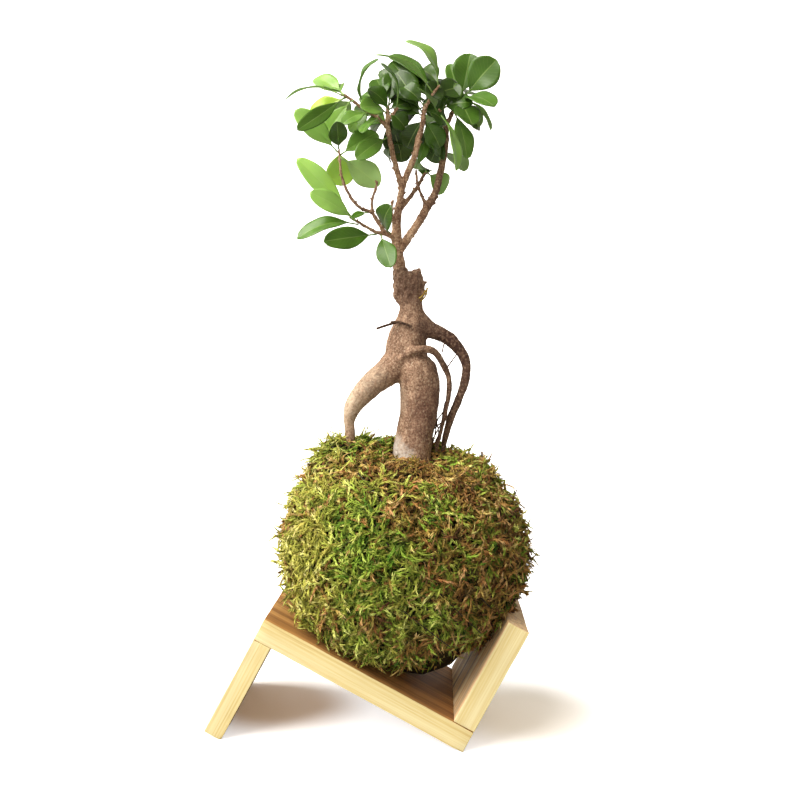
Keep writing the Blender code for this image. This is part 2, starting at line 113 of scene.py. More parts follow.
def ranged(tree, value, low, high, toLow=0.0, toHigh=1.0, **settings):
    return addNode(tree, "ShaderNodeMapRange",
                   {"Value": value, "From Min": low, "From Max": high, "To Min": toLow, "To Max": toHigh},
                   **settings).outputs[0]


def mixed(tree, share, under, over):
    return addNode(tree, "ShaderNodeMix", {0: share, 6: under, 7: over}, data_type="RGBA").outputs[2]


def ramped(tree, value, places, codes):
    return addNode(tree, "ShaderNodeValToRGB", {"Fac": value}, list(zip(places, codes))).outputs["Color"]


def setBump(tree, shader, height, strength, distance, **under):
    inputs = {"Height": height, "Strength": strength, "Distance": distance, **under}
    bump = addNode(tree, "ShaderNodeBump", inputs).outputs[0]
    tree.links.new(bump, shader.inputs["Normal"])
    return bump


def setLook(tree, shader, colour, specular):
    tree.links.new(colour, shader.inputs["Base Color"])
    shader.inputs["Specular IOR Level"].default_value = specular


def link(item):
    bpy.context.scene.collection.objects.link(item)
    return item


def selectOnly(item):
    bpy.ops.object.select_all(action="DESELECT")
    item.select_set(True)
    bpy.context.view_layer.objects.active = item


def primitive(kind, **settings):
    bpy.ops.object.select_all(action="DESELECT")
    getattr(bpy.ops.mesh, "primitive_%s_add" % kind)(**settings)
    return bpy.context.object


def settledCone(foot, tip, **settings):
    # a cone from foot to tip, with its turn and place applied
    cone = primitive("cone", depth=(tip - foot).length, location=(foot + tip) / 2,
                     rotation=(tip - foot).to_track_quat("Z", "Y").to_euler(), **settings)
    bpy.ops.object.transform_apply(location=True, rotation=True, scale=True)
    return cone


def subdivide(cuts):
    bpy.ops.object.mode_set(mode="EDIT")
    bpy.ops.mesh.select_all(action="SELECT")
    bpy.ops.mesh.subdivide(number_cuts=cuts)
    bpy.ops.object.mode_set(mode="OBJECT")


def joinInto(piece, extras):
    selectOnly(piece)
    for extra in extras:
        extra.select_set(True)
    bpy.ops.object.join()


def modify(item, name, kind, **settings):
    modifier = item.modifiers.new(name, kind)
    for key, value in settings.items():
        setattr(modifier, key, value)


def applyAll(item):
    selectOnly(item)
    for modifier in list(item.modifiers):
        bpy.ops.object.modifier_apply(modifier=modifier.name)


def reskin(item, look):
    # one even skin over joined solids
    modify(item, "skin", "REMESH", voxel_size=look["voxel"])
    modify(item, "even", "SMOOTH", iterations=look["evenPasses"])
    applyAll(item)


def surfaceTree(mesh):
    return BVHTree.FromPolygons([vertex.co for vertex in mesh.vertices],
                                [polygon.vertices for polygon in mesh.polygons])


def nodeCopy(nodeName, pieceName):
    # a piece that starts as a welded copy of a CAD node's mesh
    piece = link(bpy.data.objects.new(pieceName, nodes[nodeName].data.copy()))
    piece.data.materials.clear()
    shape = bmesh.new()
    shape.from_mesh(piece.data)
    bmesh.ops.remove_doubles(shape, verts=shape.verts, dist=1e-6)
    shape.to_mesh(piece.data)
    shape.free()
    return piece


def finish(piece, material, slot, *replaced):
    # rides on the part's one body, with its material and the CAD nodes that it stands for
    if material:
        piece.data.materials.clear()
        piece.data.materials.append(material)
    piece.data.shade_smooth()
    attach(piece, "root")
    if replaced:
        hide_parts(*replaced)


def pushOut(piece, amount):
    # moves each vertex along its normal by amount(place), in metres
    normals = [vertex.normal.copy() for vertex in piece.data.vertices]
    for vertex, normal in zip(piece.data.vertices, normals):
        vertex.co += normal * amount(vertex.co)


# pine stand
# Sawn pine, oiled: pale straw on the cut edges that face front and back, with fine lines along the grain, and
# more amber across the width. The paler edges are partly painted light, where they face the lamp, and the
# amber faces partly painted shade.

stand = dict(
    tilt=math.radians(26.2), bevel=0.45 * mm, wear=0.2 * mm,
    edgePale="#ecdfae", edgeStraw="#dfcb8c", edgeLine="#c09e60",
    faceAmber="#cf9f62", faceBrown="#b37f48", faceLine="#845a35",
    # the stop board's colours: paler than the seat and leg, painted light on the face that the ball shades,
    # with grey in the lines, painted shade
    stopLitPale="#ffe8c0", stopLitStraw="#efc68e", stopShadedGrey="#a49280",
    lineSpacing=0.8 * mm, lineRun=70 * mm, figureSize=0.14, edgeDepth=0.6 * mm, edgeEnd=0.25 * mm,
    cuts=20, wearSize=9 * mm, glueLine=0.3 * mm)


def makePine(name, alongSeat, seed, faceCodes):
    material, tree, shader = newMaterial(name, 0.6)
    low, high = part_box("seat_board")
    coords = objectCoords(tree)
    turned = mapped(tree, coords, Rotation=(0, -stand["tilt"], 0))
    fine, run = 1 / stand["lineSpacing"], 1 / stand["lineRun"]
    stretch = (run, fine, fine) if alongSeat else (fine, fine, run)
    grain = mapped(tree, turned, Scale=stretch, Location=(seed, seed * 2, seed * 3))
    lines = cloudy(tree, grain, 1.0, 6.0, 0.6, 0.15)
    wider = tuple(s * stand["figureSize"] for s in stretch)
    wide = mapped(tree, turned, Scale=wider, Location=(seed * 5, 0, seed))
    broad = maths(tree, "MULTIPLY_ADD", cloudy(tree, wide, 1.0, 3.0, 0.5, 0.8), 0.55, 0.0)
    figure = maths(tree, "MULTIPLY_ADD", lines, 0.45, broad)
    edgeCodes = [stand[key] for key in ("edgeLine", "edgeStraw", "edgePale")]
    front = ramped(tree, figure, (0.36, 0.47, 0.60), edgeCodes)
    face = ramped(tree, figure, (0.36, 0.48, 0.62), faceCodes)
    across = addNode(tree, "ShaderNodeSeparateXYZ", {"Vector": coords}).outputs["Y"]
    outward = maths(tree, "ABSOLUTE", maths(tree, "SUBTRACT", across, (low.y + high.y) / 2))
    half = (high.y - low.y) / 2
    # the front and back edges take the paler colour: partly painted light where they face the lamp
    edge = ranged(tree, outward, half - stand["edgeDepth"], half - stand["edgeEnd"])
    setLook(tree, shader, mixed(tree, edge, face, front), 0.3)
    setBump(tree, shader, lines, 0.5, 0.3 * mm)
    return material


def buildBoard(nodeName):
    # a plank with softened, slightly worn edges, the size of its CAD board
    turn = Matrix.Rotation(stand["tilt"], 3, "Y")
    back = turn.transposed()
    places = np.array([back @ vertex.co for vertex in nodes[nodeName].data.vertices])
    low, high = places.min(axis=0), places.max(axis=0)
    if nodeName == "leg_board":
        high[2] += stand["glueLine"]
    board = primitive("cube", size=1.0)
    board.name = nodeName + "Sawn"
    subdivide(stand["cuts"])
    for vertex in board.data.vertices:
        vertex.co = Vector(low + (high - low) * (np.array(vertex.co) + 0.5))
    modify(board, "soften", "BEVEL", width=stand["bevel"], segments=3, limit_method="ANGLE")
    applyAll(board)
    pushOut(board, lambda place: stand["wear"] * (noise.noise(place / stand["wearSize"]) - 0.6))
    for vertex in board.data.vertices:
        vertex.co = turn @ vertex.co
        vertex.co.z = max(vertex.co.z, 0.0)
    return board


amber = [stand[key] for key in ("faceLine", "faceBrown", "faceAmber")]
# the stop board takes the paler palette: painted light, with grey painted shade in its lines
stopLitAndShaded = [stand[key] for key in ("stopShadedGrey", "stopLitStraw", "stopLitPale")]
for boardName, alongSeat, seed, codes in (("seat_board", True, 1.7, amber), ("leg_board", False, 4.1, amber),
                                          ("stop_board", False, 7.9, stopLitAndShaded)):
    pine = makePine("sawnPine_" + boardName, alongSeat, seed, codes)
    finish(buildBoard(boardName), pine, "pine_board", boardName)
print("stand finished")


# hidden pieces: beech dowels, soil, thread

def makeGrainy(name, roughness, darkCode, lightCode, grain, bumpHeight):
    # a plain granular or fibrous finish: two colours broken up by noise of one grain size
    material, tree, shader = newMaterial(name, roughness)
    specks = cloudy(tree, objectCoords(tree), 1 / grain, 4.0)
    setLook(tree, shader, ramped(tree, specks, (0.35, 0.65), (darkCode, lightCode)), 0.15)
    setBump(tree, shader, specks, 0.5, bumpHeight)
    return material


beech = makeGrainy("turnedBeech", 0.55, "#b89468", "#d8bb90", 1.5 * mm, 0.1 * mm)
soil = makeGrainy("packedSoil", 0.95, "#1e1610", "#4a3826", 2.5 * mm, 0.8 * mm)
twine = makeGrainy("wovenNylonThread", 0.5, "#1d1a15", "#3b342a", 0.6 * mm, 0.1 * mm)
for hiddenName, material in (("leg_dowel_front", beech), ("leg_dowel_back", beech),
                             ("stop_dowel_front", beech), ("stop_dowel_back", beech), ("soil_core", soil)):
    nodes[hiddenName].data.materials.clear()
    nodes[hiddenName].data.materials.append(material)
print("hidden pieces finished")


# fig trunk and roots

def threadPiece(name, runs, thickness):
    # thin round strands through given points in millimetres, as one mesh
    strands = bpy.data.curves.new(name, "CURVE")
    strands.dimensions = "3D"
    strands.bevel_depth = thickness / 2
    strands.bevel_resolution = 1
    strands.use_fill_caps = True
    for run in runs:
        spline = strands.splines.new("NURBS")
        spline.points.add(len(run) - 1)
        for point, place in zip(spline.points, run):
            point.co = (*(Vector(place) * mm), 1.0)
        spline.use_endpoint_u = True
        spline.order_u = min(4, len(run))
        spline.resolution_u = 4
    selectOnly(link(bpy.data.objects.new(name, strands)))
    bpy.ops.object.convert(target="MESH")
    return bpy.context.object


trunkLook = dict(
    voxel=0.55 * mm, evenPasses=5, swell=0.10 * mm,
    lump=0.42 * mm, lumpSize=7 * mm, fine=0.14 * mm, fineSize=1.5 * mm,
    streak=0.14 * mm, streakWidth=1.3 * mm, streakRun=8 * mm,
    wrinkle=0.12 * mm, wrinkleSpacing=2.6 * mm, waver=4.4, waverSize=9 * mm, patchSize=11 * mm,
    knobFoot=241 * mm, knobRise=9 * mm, furrow=1.15 * mm, flakeWidth=2.6 * mm, flakeRun=5 * mm,
    collar=(9.3 * mm, 0.6 * mm, 261.5 * mm),
    band=[[(5.5, -6, 207), (7.2, -8.6, 209.6), (10.7, -10.6, 212.6), (16.3, -11.4, 216), (22, -11.2, 218.4)]],
    light="#c2a084", middle="#92725a", dark="#5f4536", chalk="#d8d0c4", cream="#dcc8ac", armDark="#472f26",
    knob="#62483a", footBand="#56362d", redBrown="#5e3c30", speck="#3a281f", glint="#e6d0b2",
    stubs=[((14.5, -1, 258), (19.8, -0.9, 264.6), 2.4), ((18, -1.5, 252.5), (24.4, -1.4, 257.6), 2.0),
           ((17, -2, 247.5), (22.5, -2.4, 250), 1.8)])


def stretched(place, width, run):
    return Vector((place.x / width, place.y / width, place.z / run))


def trunkRelief(place):
    look = trunkLook
    big = noise.noise(place / look["lumpSize"]) * look["lump"]
    small = noise.noise(place / look["fineSize"] + Vector((7, 3, 1))) * look["fine"]
    streak = noise.noise(stretched(place, look["streakWidth"], look["streakRun"])) * look["streak"]
    waver = noise.noise(place / look["waverSize"]) * look["waver"]
    ring = math.sin(2 * math.pi * place.z / look["wrinkleSpacing"] + waver)
    patch = max(0.0, noise.noise(place / look["patchSize"] + Vector((2, 9, 4))))
    knob = min(1.0, max(0.0, (place.z - look["knobFoot"]) / look["knobRise"]))
    scaly = noise.noise(stretched(place, look["flakeWidth"], look["flakeRun"]) + Vector((4, 4, 4)))
    rough = knob * (scaly * look["furrow"] + small * 2)
    return look["swell"] + big + small + streak + ring * patch * look["wrinkle"] + rough


def buildTrunk():
    trunk = nodeCopy("rootstock", "figTrunk")
    collar = primitive("cone", vertices=24, radius1=5.0 * mm, radius2=3.7 * mm, depth=7 * mm,
                       location=trunkLook["collar"])
    band = threadPiece("rootBand", trunkLook["band"], 3.6 * mm)
    stubs = [settledCone(Vector(foot) * mm, Vector(tip) * mm, vertices=7, radius1=radius * mm,
                         radius2=radius * 0.3 * mm) for foot, tip, radius in trunkLook["stubs"]]
    modify(trunk, "soften", "SUBSURF", levels=2, render_levels=2)
    applyAll(trunk)
    joinInto(trunk, [collar, band] + stubs)
    reskin(trunk, trunkLook)
    pushOut(trunk, trunkRelief)
    return trunk


def makeBark(name, light, middle, dark, poreSize, streak):
    # fig bark: thin, grey-brown, streaked along the wood, with pores, dark specks and pale glints
    material, tree, shader = newMaterial(name, 0.7)
    coords = objectCoords(tree)
    flat = mapped(tree, coords, Scale=(1, 1, streak))
    mottle = cloudy(tree, flat, 1 / (4 * mm), 8.0, 0.66)
    colour = ramped(tree, mottle, (0.28, 0.50, 0.72), (dark, middle, light))
    pores = addNode(tree, "ShaderNodeTexVoronoi",
                    {"Vector": flat, "Scale": 1 / poreSize, "Randomness": 1.0}).outputs["Distance"]
    specks = cloudy(tree, coords, 1 / (1.1 * mm), 3.0, 0.65)
    for value, low, high, share, code in ((pores, 0.30, 0.10, 0.4, dark),
                                          (specks, 0.49, 0.36, 0.6, trunkLook["speck"]),
                                          (specks, 0.53, 0.66, 0.42, trunkLook["glint"])):
        colour = mixed(tree, ranged(tree, value, low, high, 0.0, share), colour, hexColour(code))
    bump = setBump(tree, shader, pores, 0.4, 0.2 * mm)
    setBump(tree, shader, cloudy(tree, coords, 1 / (1.3 * mm), 4.0, 0.7), 1.0, 0.6 * mm, Normal=bump)
    setLook(tree, shader, colour, 0.25)
    return material, tree, shader, colour, coords


def addZone(tree, coords, colour, centre, radius, code, strength):
    # tints a round region of a surface, softly, with a ragged and crumbled edge
    away = distanceFrom(tree, coords, centre)
    shifted = maths(tree, "MULTIPLY_ADD", cloudy(tree, coords, 1 / (4 * mm), 4.0), radius * mm * 0.8, away)
    mask = ranged(tree, shifted, radius * mm * 1.5, radius * mm * 0.8, 0.0, strength)
    broken = ranged(tree, cloudy(tree, coords, 1 / (1.6 * mm), 3.0, 0.6), 0.36, 0.56, 0.35, 1.0)
    return mixed(tree, maths(tree, "MULTIPLY", mask, broken), colour, hexColour(code))


def makeTrunkBark():
    material, tree, shader, colour, coords = makeBark(
        "figTrunkBark", trunkLook["light"], trunkLook["middle"], trunkLook["dark"], 1.5 * mm, 0.45)
    zones = [
        # darker brown on the arm root at the right: partly its bark, partly painted shade on the side away
        # from the lamp
        ((42, 3, 222), 24, trunkLook["armDark"], 1.0),        # arm root
        ((49, 7, 196), 24, trunkLook["armDark"], 0.8),
        ((41, 7, 168), 18, trunkLook["armDark"], 0.5),
        ((15, -4, 254), 13, trunkLook["knob"], 0.8),          # graft knob
        ((25, -8, 231), 8, trunkLook["armDark"], 0.6),
        ((30, -10, 184), 16, trunkLook["redBrown"], 0.65),
        ((24, -14, 168), 8, trunkLook["redBrown"], 0.4),
        ((8, -8, 161), 9, trunkLook["chalk"], 0.8),           # chalky foot
        ((15, -14, 156), 8, trunkLook["chalk"], 0.6),
        ((21, -10, 141), 11, trunkLook["footBand"], 0.9),
        # cream on the left root, and faintly on the front of the belly: painted light where the lamp falls on
        # them
        ((-22, -9, 186), 19, trunkLook["cream"], 0.7),
        ((-6, -10, 200), 12, trunkLook["cream"], 0.35),
        ((8, -8, 190), 10, trunkLook["cream"], 0.3),
        ((-22, 0, 163), 12, trunkLook["armDark"], 0.9)]
    for centre, radius, code, strength in zones:
        colour = addZone(tree, coords, colour, centre, radius, code, strength)
    tree.links.new(colour, shader.inputs["Base Color"])
    return material


trunkBark = makeTrunkBark()
trunk = buildTrunk()
finish(trunk, trunkBark, "trunk_bark", "rootstock")
print("trunk finished:", len(trunk.data.polygons), "faces")


# grafted stem and twigs

twigLook = dict(
    voxel=0.34 * mm, evenPasses=3, swell=0.06 * mm,
    knot=0.36 * mm, knotSize=2.4 * mm, seed=5,
    buds=110, budSpacing=4 * mm, budSize=(0.45, 0.8), budsFrom=268 * mm,
    light="#e0bf9c", middle="#aa8466", dark="#5c4232", browned="#4c3428")


def twigRelief(place):
    return twigLook["swell"] + noise.noise(place / twigLook["knotSize"]) * twigLook["knot"]


def addBuds(twigs):
    # small blunt buds and leaf scars, spaced out over the twigs
    rng = np.random.default_rng(twigLook["seed"])
    vertices = twigs.data.vertices
    chosen = []
    for index in rng.permutation(len(vertices)):
        vertex = vertices[int(index)]
        if vertex.co.z > twigLook["budsFrom"] and all(
                (vertex.co - other.co).length > twigLook["budSpacing"] for other in chosen):
            chosen.append(vertex)
        if len(chosen) == twigLook["buds"]:
            break
    seats = [(vertex.co.copy(), vertex.normal.copy()) for vertex in chosen]
    buds = []
    for place, normal in seats:
        size = rng.uniform(*twigLook["budSize"]) * mm
        heading = (normal + Vector((0, 0, 0.7))).normalized()
        buds.append(primitive("cone", vertices=8, radius1=size, radius2=size * 0.35, depth=size * 2.6,
                              location=place + heading * size * 0.6,
                              rotation=heading.to_track_quat("Z", "Y").to_euler()))
        bpy.ops.object.transform_apply(location=True, rotation=True, scale=True)
    joinInto(twigs, buds)


def buildTwigs():
    twigs = nodeCopy("grafted_stem", "figStem")
    modify(twigs, "soften", "SUBSURF", levels=1, render_levels=1)
    applyAll(twigs)
    addBuds(twigs)
    reskin(twigs, twigLook)
    pushOut(twigs, twigRelief)
    return twigs


twigs = buildTwigs()
twigBark, tree, shader, colour, coords = makeBark(
    "figTwigBark", twigLook["light"], twigLook["middle"], twigLook["dark"], 1.2 * mm, 0.4)
brownedParts = [((27, 7, 308), 20, 0.75), ((30, 10, 335), 16, 0.6), ((-14, -11, 300), 16, 0.5)]
for centre, radius, strength in brownedParts:
    colour = addZone(tree, coords, colour, centre, radius, twigLook["browned"], strength)
tree.links.new(colour, shader.inputs["Base Color"])
finish(twigs, twigBark, "twig_bark", "grafted_stem")
print("stem finished:", len(twigs.data.polygons), "faces")


# dead twig and hair roots on the trunk

deadTwig = threadPiece("deadTwig", [
    [(10, -8, 233.5), (6, -8, 232.6), (2, -9, 231), (-3, -11, 229)],
    [(5, -8, 233), (9, -10.8, 233.8), (13, -11.6, 232.6), (17, -11.2, 230.8)]], 1.6 * mm)
finish(deadTwig, makeGrainy("deadTwigBark", 0.8, "#2e211a", "#5a4436", 1.2 * mm, 0.2 * mm), "twig_bark")
hairRoots = threadPiece("hairRoots", [
    [(35, -4, 217), (35.5, 1, 221), (37, 4, 226)], [(38, -3, 208), (42, 2, 214), (45, 5, 218)],
    [(29, -1, 168), (32, 0, 176), (36, 1, 181), (40, 4, 186)], [(27, 1, 160), (31, -2, 170), (34, -3, 178)],
    [(31, 2, 162), (34, 1, 172), (33, 3, 180)], [(24, -4, 162), (28, -6, 168), (32, -5, 173), (36, -2, 176)],
    [(33, 4, 164), (37, 5, 172), (36, 6, 180), (38, 6, 188)], [(26, 5, 160), (30, 7, 168), (29, 6, 176)],
    [(30, -5, 163), (33, -7, 170), (36, -4, 176), (39, 0, 180)],
    [(34, -3, 162), (36, -4, 170), (33, -5, 177)]], 0.75 * mm)
finish(hairRoots, makeGrainy("hairRootSkin", 0.8, "#3a2b22", "#6b513f", 1.2 * mm, 0.1 * mm), "trunk_bark")
oldBud = threadPiece("oldBud", [
    [(20, -3, 245.5), (23.6, -4, 247), (25.4, -5, 250), (24.6, -5, 253.5)],
    [(20.5, -5, 247.5), (23.6, -6.2, 249.5), (24.4, -6.4, 252.4)],
    [(20, -4, 249), (24, -3.5, 251), (25.6, -3, 254)]], 0.9 * mm)
finish(oldBud, makeGrainy("dryBudScales", 0.75, "#8a6a2c", "#cdb25a", 1.0 * mm, 0.2 * mm), "trunk_bark")
print("fine roots finished")


# leaves
# Fig leaf: waxy and glossy above with a pale sunken midrib, duller and paler below, thin enough to glow.

leafLook = dict(
    stalkShare=0.11, stalkUnderBlade=0.16, stalkFoot=0.045, stalkWidth=0.85 * mm, thickness=0.34 * mm,
    fold=0.16, groove=0.18 * mm, grooveWidth=0.45 * mm, ripple=0.09, twist=0.45,
    ribStrength=0.3, veinPairs=11.0,
    dark="#2a3f12", grown="#4f7722", freshAndLit="#9cc862", youngAndLit="#bade4e",
    underDark="#607a46", underGrown="#84a65a", underPale="#abcf7c", underYoungAndLit="#c0de74", rib="#b9d37e")

# how young each leaf is and how much light falls on it, as one tone: 0 dark, for old leaves and for leaves in
# painted shade; 1 yellow-green, for new leaves and for lit and backlit leaves, painted light
leafAgeAndLight = [0.72, 0.64, 0.36, 0.34, 0.32, 0.12, 0.86, 0.60, 0.42, 0.48, 0.14, 0.70, 0.26, 1.00, 0.48, 0.60,
            0.68, 0.44, 0.38, 0.36, 0.30, 0.52, 0.10, 0.12, 0.22, 0.04, 0.32, 0.46, 0.10, 0.20, 0.34, 0.14,
            0.18, 0.58, 0.40, 0.26, 0.26, 0.30, 0.54, 0.30, 0.40, 0.16, 0.54, 0.34, 0.20, 0.40, 0.34, 0.12]
# leaves that are broader than their solid
leafBreadth = {20: 1.2, 36: 1.16, 37: 1.16, 39: 1.35}

# more leaves deep in the crown: foot, tip, blade width, the way the upper face looks, age and light (low,
# painted shade, for leaves deep in the crown)
crownLeaves = [
    ((23.5, -6.4, 362), (40, 12, 371), 15, (0, -1, 0.2), 0.10),
    ((18.5, -5.4, 349), (29, 22, 337), 15, (0, -1, 0.1), 0.12),
    ((19.5, -6.4, 356), (4, 18, 351), 16, (0, -1, 0.2), 0.06),
    ((-1.5, -4.4, 349), (-12, 22, 343), 15, (-0.2, -1, 0.3), 0.20),
    ((32.5, 10.6, 349), (20, 38, 355), 15, (0.1, 0.8, 0.8), 0.30),
    ((36.5, 9.6, 359), (24, 36, 371), 15, (0, 0.6, 0.9), 0.35),
    ((42.5, 8.6, 366), (40, 36, 377), 15, (0.3, 0.5, 0.9), 0.30),
    ((-7.5, -7.4, 349), (-20, 17, 355), 14, (-0.2, 0.4, 1), 0.40),
    ((-21.5, -11.4, 357), (-36, 11, 349), 14, (-0.3, 0.6, 0.9), 0.45),
    ((-1.5, -5.4, 356), (10, 18, 369), 15, (0.1, -0.9, 0.5), 0.10),
    ((21.5, 12.6, 323), (12, 36, 329), 13, (0, 0.8, 0.7), 0.30),
    ((31.5, 10.6, 334), (44, 32, 327), 13, (0.5, 0.6, 0.6), 0.25),
    ((1.5, -2.4, 334), (7, 24, 341), 14, (0, -1, 0.1), 0.08),
    ((27.5, -6.4, 368), (16, 12, 381), 14, (0, -0.9, 0.6), 0.12),
    ((37.0, 9.6, 360), (52, 24, 352), 14, (0.4, 0.5, 0.8), 0.28),
    ((-26.5, -14.4, 360), (-38, 8, 368), 13, (-0.4, 0.3, 1), 0.50),
    ((18.8, -8, 356.5), (6, -4, 367.5), 13, (-0.2, -1, 0.5), 0.14),
    ((19.5, -7, 357), (28, -3, 369), 13, (0.2, -1, 0.3), 0.08),
    ((25.6, -4, 360), (11, 6, 376), 14, (0, -1, 0.4), 0.12),
    ((-0.9, -6, 354), (-13, -10, 364), 13, (0, -1, 0.6), 0.20),
    ((-1, -3, 351), (6, 9, 333), 17, (0, -1, 0.1), 0.04),
    ((-1.2, -5, 353), (9, -2, 344), 12, (0.2, -1, 0.2), 0.16),
    ((19, -4, 350), (10, 5, 335), 15, (0, -1, 0.1), 0.06),
    ((29.5, 4, 357), (37, 7, 373), 15, (0.1, -1, 0.3), 0.14),
    ((30, 5, 358), (47, 0, 360), 14, (0.1, -1, 0.4), 0.18),
    ((31, 8, 360), (21, 11, 375), 14, (0, -1, 0.4), 0.10),
    ((31, 8, 343), (24, 15, 329), 14, (0, -1, 0.1), 0.12),
    ((19.5, -4, 349), (29, 3, 335), 13, (0.1, -1, 0.1), 0.22),
    ((-10.5, -8, 353), (-23, -5, 341), 13, (-0.1, -1, 0.3), 0.50),
    ((-3, -4, 358), (-9, 3, 373), 13, (-0.1, -1, 0.4), 0.22),
    ((19.5, -7, 357.5), (-1, 6, 384), 14, (-0.3, -1, 0.4), 0.10),
    ((-1.2, -5, 356.5), (2, 7, 379), 13, (0, -1, 0.3), 0.12),
    ((19.5, -6, 354), (32, 1, 348), 11, (0.1, -1, 0.4), 0.12),
    ((31.5, 9, 352), (19, 3, 362), 13, (0, -1, 0.4), 0.20),
    ((-1.5, -4, 354), (12, 3, 359), 12, (0, -1, 0.4), 0.16),
    ((18.5, -4, 351), (5, 5, 358), 13, (0, -1, 0.3), 0.10),
    ((-1, -3, 346), (-13, 3, 350), 12, (0, -1, 0.5), 0.45)]


def readLeaf(node):
    # A CAD leaf is eight rings of four points, square to its axis: edge, top, edge, underside
    places = np.array([vertex.co for vertex in node.data.vertices], float)
    places = np.unique(places.round(7), axis=0)
    spread = places - places.mean(axis=0)
    axis = np.linalg.svd(spread)[2][0]
    for _ in range(3):
        order = places[np.argsort(places @ axis)]
        axis = order[-4:].mean(axis=0) - order[:4].mean(axis=0)
        length = np.linalg.norm(axis)
        axis /= length
    rings = places[np.argsort(places @ axis)].reshape(-1, 4, 3)
    size = [np.linalg.norm(ring - ring.mean(axis=0), axis=1).sum() for ring in rings]
    if size[0] < size[-1]:
        rings = rings[::-1]
        axis = -axis
    widest = rings[int(np.argmax(size))]
    gaps = [(np.linalg.norm(widest[i] - widest[j]), i, j) for i in range(4) for j in range(i + 1, 4)]
    span, left, right = max(gaps)
    side = (widest[left] - widest[right]) / span
    normal = np.cross(side, axis)
    others = [widest[k] for k in range(4) if k not in (left, right)]
    if ((widest[left] + widest[right]) / 2 - sum(others) / 2) @ normal < 0:
        normal = -normal
    middles = np.array([ring[np.argsort(ring @ side)[1:3]].mean(axis=0) for ring in rings])
    start = middles[0]
    shares = (middles - start) @ axis / length
    lifts = (middles - start) @ normal
    arch = 4 * shares * (1 - shares)
    bow = float((lifts * arch).sum() / (arch ** 2).sum())
    return dict(start=Vector(start), axis=Vector(axis), length=length, side=Vector(side),
                normal=Vector(normal), width=span, bow=bow)


def leafOutline(share):
    return math.sin(math.pi * share ** 1.22) ** (0.86 - 0.40 * share)


def leafPlace(leaf, across, along, wave, turn):
    # a point of the blade: across from -1 to 1, along from 0 at its foot to 1 at its tip
    stalk = leafLook["stalkShare"]
    share = stalk + (1 - stalk) * along
    half = max(leaf["width"] / 2 * leafOutline(min(along, 0.9995)), 0.25 * mm)
    middle = leaf["start"] + leaf["axis"] * leaf["length"] * share
    middle = middle + leaf["normal"] * leaf["bow"] * 4 * share * (1 - share)
    reach = abs(across) ** 1.35
    side = math.copysign(reach, across)
    twist = turn * math.sin(wave * 3) * (share - 0.2)
    sideways = leaf["side"] * math.cos(twist) + leaf["normal"] * math.sin(twist)
    upright = leaf["normal"] * math.cos(twist) - leaf["side"] * math.sin(twist)
    lift = leafLook["fold"] * half * reach ** 1.2
    lift += leafLook["ripple"] * half * reach * math.sin(9 * along + wave + (2.0 if across > 0 else 0.0))
    lift -= leafLook["groove"] * math.exp(-(side * half / leafLook["grooveWidth"]) ** 2) * (1 - along)
    return middle + sideways * side * half + upright * lift


def masterBlade():
    blade = primitive("grid", x_subdivisions=12, y_subdivisions=24, size=2.0)
    blade.name = "masterBlade"
    return blade


def masterStalk():
    stalk = primitive("cylinder", vertices=8, radius=1.0, depth=1.0)
    bpy.ops.object.mode_set(mode="EDIT")
    for height in (0.17, -0.17):
        bpy.ops.mesh.select_all(action="SELECT")
        bpy.ops.mesh.bisect(plane_co=(0, 0, height), plane_no=(0, 0, 1))
    bpy.ops.object.mode_set(mode="OBJECT")
    stalk.name = "masterStalk"
    return stalk


def axisPoint(leaf, share, lift=0.0):
    bow = leaf["bow"] * 4 * share * (1 - share)
    return leaf["start"] + leaf["axis"] * leaf["length"] * share + leaf["normal"] * (bow + lift)


def buildLeaf(name, leaf, ageAndLight, wave, turn, blade, stalk, finishes):
    piece = blade.copy()
    piece.data = blade.data.copy()
    piece.name = name
    link(piece)
    for vertex in piece.data.vertices:
        vertex.co = leafPlace(leaf, vertex.co.x, (vertex.co.y + 1) / 2, wave, turn)
    for material in finishes:
        piece.data.materials.append(material)
    modify(piece, "wall", "SOLIDIFY", thickness=leafLook["thickness"], offset=0.0, material_offset=1)
    if piece.data.polygons[0].normal.dot(leaf["normal"]) < 0:
        piece.data.flip_normals()
    applyAll(piece)
    stem = stalk.copy()
    stem.data = stalk.data.copy()
    link(stem)
    foot = leafLook["stalkFoot"]
    reach = leafLook["stalkShare"] + leafLook["stalkUnderBlade"]
    for vertex in stem.data.vertices:
        share = (vertex.co.z + 0.5) * (reach + foot) - foot
        thick = leafLook["stalkWidth"] / 2 * (1.15 - 1.6 * share)
        middle = axisPoint(leaf, share, -0.25 * mm)
        vertex.co = middle + leaf["side"] * vertex.co.x * thick + leaf["normal"] * vertex.co.y * thick
    for _ in range(2):
        stem.data.materials.append(finishes[1])
    shape = bmesh.new()
    shape.from_mesh(stem.data)
    bmesh.ops.recalc_face_normals(shape, faces=shape.faces)
    shape.to_mesh(stem.data)
    shape.free()
    joinInto(piece, [stem])
    piece.data.attributes.new("ageAndLight", "FLOAT", "POINT")
    piece.data.attributes["ageAndLight"].data.foreach_set("value", [ageAndLight] * len(piece.data.vertices))
    return piece


